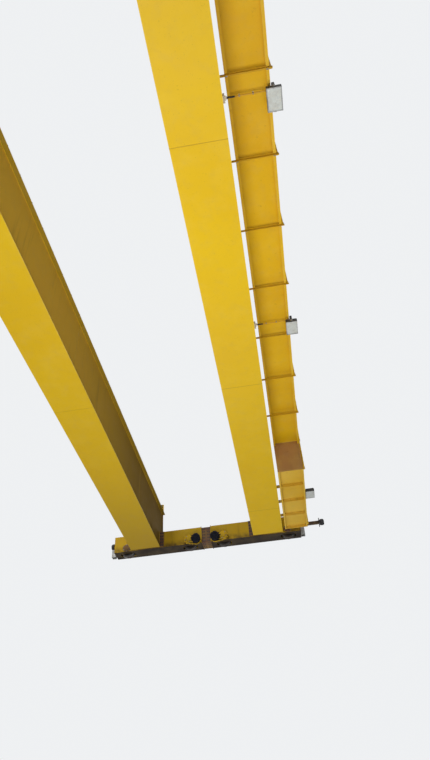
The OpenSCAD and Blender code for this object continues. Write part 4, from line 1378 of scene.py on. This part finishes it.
def lampKnobs(leads):
    # A clamping bolt through each arm of the straps of the hanging lamps, and a gland for each lead
    t = lampTrim
    plate = lathe(t["knobPlate"], corners=20)
    gland = lathe(t["gland"], hexagon)
    knobs, glands = [], []
    for (a, b), (leadX, leadY) in zip(lampBoxes()[:-1], leads):
        x, z = (a[0] + b[0]) / 2, a[2] + t["knobUp"]
        for y, look in ((a[1] - t["armOut"], -1), (b[1] + t["armOut"], 1)):
            knobs.append(boltsOn([(x, y, z)], (0, look, 0), t["knob"]))
            knobs.append(copies(plate, [(x, y, z)], facing((0, look, 0))))
        glands.append(copies(gland, [(leadX, leadY, a[2] + t["glandUp"])]))
    return joined(knobs), joined(glands)


def leadFittings(leads):
    # Saddles along each conduit, an elbow's collars, and the junction box's screws, entry, nut and sleeve
    t = leadTrim
    out, up = facing((1, 0, 0)), facing((0, 0, 1))
    ring, sleeve = lathe(t["ring"], corners=16), lathe(t["sleeve"], corners=16)
    nut, entry = lathe(t["nut"], hexagon), lathe(t["entry"], corners=24)
    z = walkZ - conduitR
    saddles, sleeves, screws, entries = [], [], [], []
    for leadX, y in leads:
        start = [(boxEnd, y, z)]
        for x in np.linspace(boxEnd + t["saddleFrom"], leadX - t["saddleTo"], t["saddles"]):
            saddles.append(copies(ring, [(x, y, z)], out))
            stripLow = (x, y - t["saddleHalf"], z + t["saddleLow"])
            stripHigh = (x + t["saddleLong"], y + t["saddleHalf"], z + t["saddleHigh"])
            saddles.append(block(stripLow, stripHigh, t["saddleBevel"]))
        saddles.append(copies(nut, start, out))
        saddles.append(copies(ring, [(leadX - t["ringBack"], y, z)], out))
        saddles.append(copies(ring, [(leadX, y, z - t["ringBack"])], up))
        entries.append(copies(entry, start, out))
        sleeves.append(copies(sleeve, start, out))
        corners = grid([boxEnd], (y - t["screwAt"], y + t["screwAt"]), (z - t["screwAt"], z + t["screwAt"]))
        screws.append(boltsOn(corners, (1, 0, 0), t["screw"], False))
    return joined(saddles), joined(sleeves), joined(screws), joined(entries)


leads = conduitLeads()
frames, frameScrews = lampFrames()
knobs, glands = lampKnobs(leads)
saddles, sleeves, boxScrews, entries = leadFittings(leads)
piece("lamp_frames", frames, frameCoat)
piece("lamp_frame_screws", frameScrews, boltZinc)
piece("lamp_knobs", knobs, boltZinc, True)
piece("lamp_glands", glands, glandCoat)
piece("conduit_saddles", saddles, boltZinc, True)
piece("conduit_sleeves", sleeves, glandCoat, True)
piece("junction_screws", boxScrews, boltZinc)
piece("junction_entries", entries, boxPaint, True)
print("lamp fittings made")


# Stage: a floor, a plain pale sky and the lamps
stage = {
    "eyeHeight": 1.65,                                # metres: the floor lies this far under the camera
    "lampsUp": 0.6,                                   # metres from the floor to the lamps that stand on it
    "floorHalf": 3000.0, "floorColour": (0.74, 0.74, 0.73), "floorRough": 0.7,
    "floorGlow": 0.72,                                # share of the floor's own brightness, for a pale ground
    "skyColour": (0.86, 0.875, 0.89), "worldLight": 0.10,
}
floorZ = eye[2] - stage["eyeHeight"]
nearFloor = floorZ + stage["lampsUp"]
underSize, sideSize, endSize = (4.0, 6.0), (2.0, 26.0), (8.0, 3.0)
lamps = {
    "underMain": {"place": (0.0, -1.0, nearFloor), "aim": (0.0, -0.8, 0.0), "size": underSize,
                  "watts": 610.0},
    "underFar": {"place": (0.0, 13.0, nearFloor), "aim": (0.0, 10.4, 0.0), "size": underSize, "watts": 265.0},
    "underRight": {"place": (4.5, -1.0, nearFloor), "aim": (1.4, -0.8, 0.0), "size": underSize,
                   "watts": 175.0},
    "above": {"place": (-8.0, -2.0, 14.0), "aim": (0.0, 0.0, 0.0), "size": (8.0, 20.0), "watts": 1900.0},
    "sideRight": {"place": (15.0, 0.0, 0.6), "aim": (0.0, 0.0, 0.6), "size": sideSize, "watts": 850.0},
    "sideLeft": {"place": (-15.0, 0.0, 0.6), "aim": (0.0, 0.0, 0.6), "size": sideSize, "watts": 850.0},
    "nearEnd": {"place": (0.0, -23.0, 3.0), "aim": (0.0, -12.0, 0.6), "size": endSize, "watts": 520.0},
    "farEnd": {"place": (0.0, 23.0, 3.0), "aim": (0.0, 12.0, 0.6), "size": endSize, "watts": 520.0},
}


def seenDirectly(tree):
    # 1 for what the camera sees, straight or through a reflection or glass
    path = add(tree, "ShaderNodeLightPath").outputs
    seen = calc(tree, "MAXIMUM", path["Is Camera Ray"], path["Is Glossy Ray"])
    return calc(tree, "MAXIMUM", seen, path["Is Transmission Ray"])


def makeFloor(s):
    # A large square at the floor's height, partly as bright as its own colour where it is seen
    half = s["floorHalf"]
    corners = [(-half, -half, floorZ), (half, -half, floorZ), (half, half, floorZ), (-half, half, floorZ)]
    mesh = bpy.data.meshes.new("floor")
    mesh.from_pydata(corners, [], [(0, 1, 2, 3)])
    floor = bpy.data.objects.new("floor", mesh)
    scene.collection.objects.link(floor)
    mat, tree = newMaterial("floor_paint")
    colour = rgba(s["floorColour"])
    shader = add(tree, "ShaderNodeBsdfPrincipled", {"Base Color": colour, "Roughness": s["floorRough"]})
    glow = add(tree, "ShaderNodeEmission", {"Color": colour, "Strength": 1.0})
    seen = calc(tree, "MULTIPLY", seenDirectly(tree), s["floorGlow"])
    both = add(tree, "ShaderNodeMixShader", {0: seen, 1: shader.outputs[0], 2: glow.outputs[0]})
    add(tree, "ShaderNodeOutputMaterial", {0: both.outputs[0]})
    mesh.materials.append(mat)


def makeSky(s):
    # One colour, at full strength where it is seen and weak as a light
    world = bpy.data.worlds.new("sky")
    world.use_nodes = True
    tree = world.node_tree
    tree.nodes.clear()
    colour = rgba(s["skyColour"])
    light = add(tree, "ShaderNodeBackground", {"Color": colour, "Strength": s["worldLight"]})
    view = add(tree, "ShaderNodeBackground", {"Color": colour, "Strength": 1.0})
    both = add(tree, "ShaderNodeMixShader", {0: seenDirectly(tree), 1: light.outputs[0], 2: view.outputs[0]})
    add(tree, "ShaderNodeOutputWorld", {0: both.outputs[0]})
    scene.world = world


def makeLamp(name, place, aim, size, watts):
    # A rectangular lamp at place that shines towards aim; its second size runs along Y
    data = bpy.data.lights.new(name, "AREA")
    data.shape = "RECTANGLE"
    data.size, data.size_y = size
    data.energy = watts
    obj = bpy.data.objects.new(name, data)
    back = unit(np.array(place) - np.array(aim))
    across = unit(np.cross((0.0, 1.0, 0.0), back))
    matrix = np.eye(4)
    matrix[:3, 0] = across
    matrix[:3, 1] = np.cross(back, across)
    matrix[:3, 2] = back
    matrix[:3, 3] = place
    obj.matrix_world = matrix.T.tolist()
    obj.visible_camera = False
    scene.collection.objects.link(obj)


makeFloor(stage)
makeSky(stage)
for name, lamp in lamps.items():
    makeLamp(name, **lamp)
print("stage and lamps made")
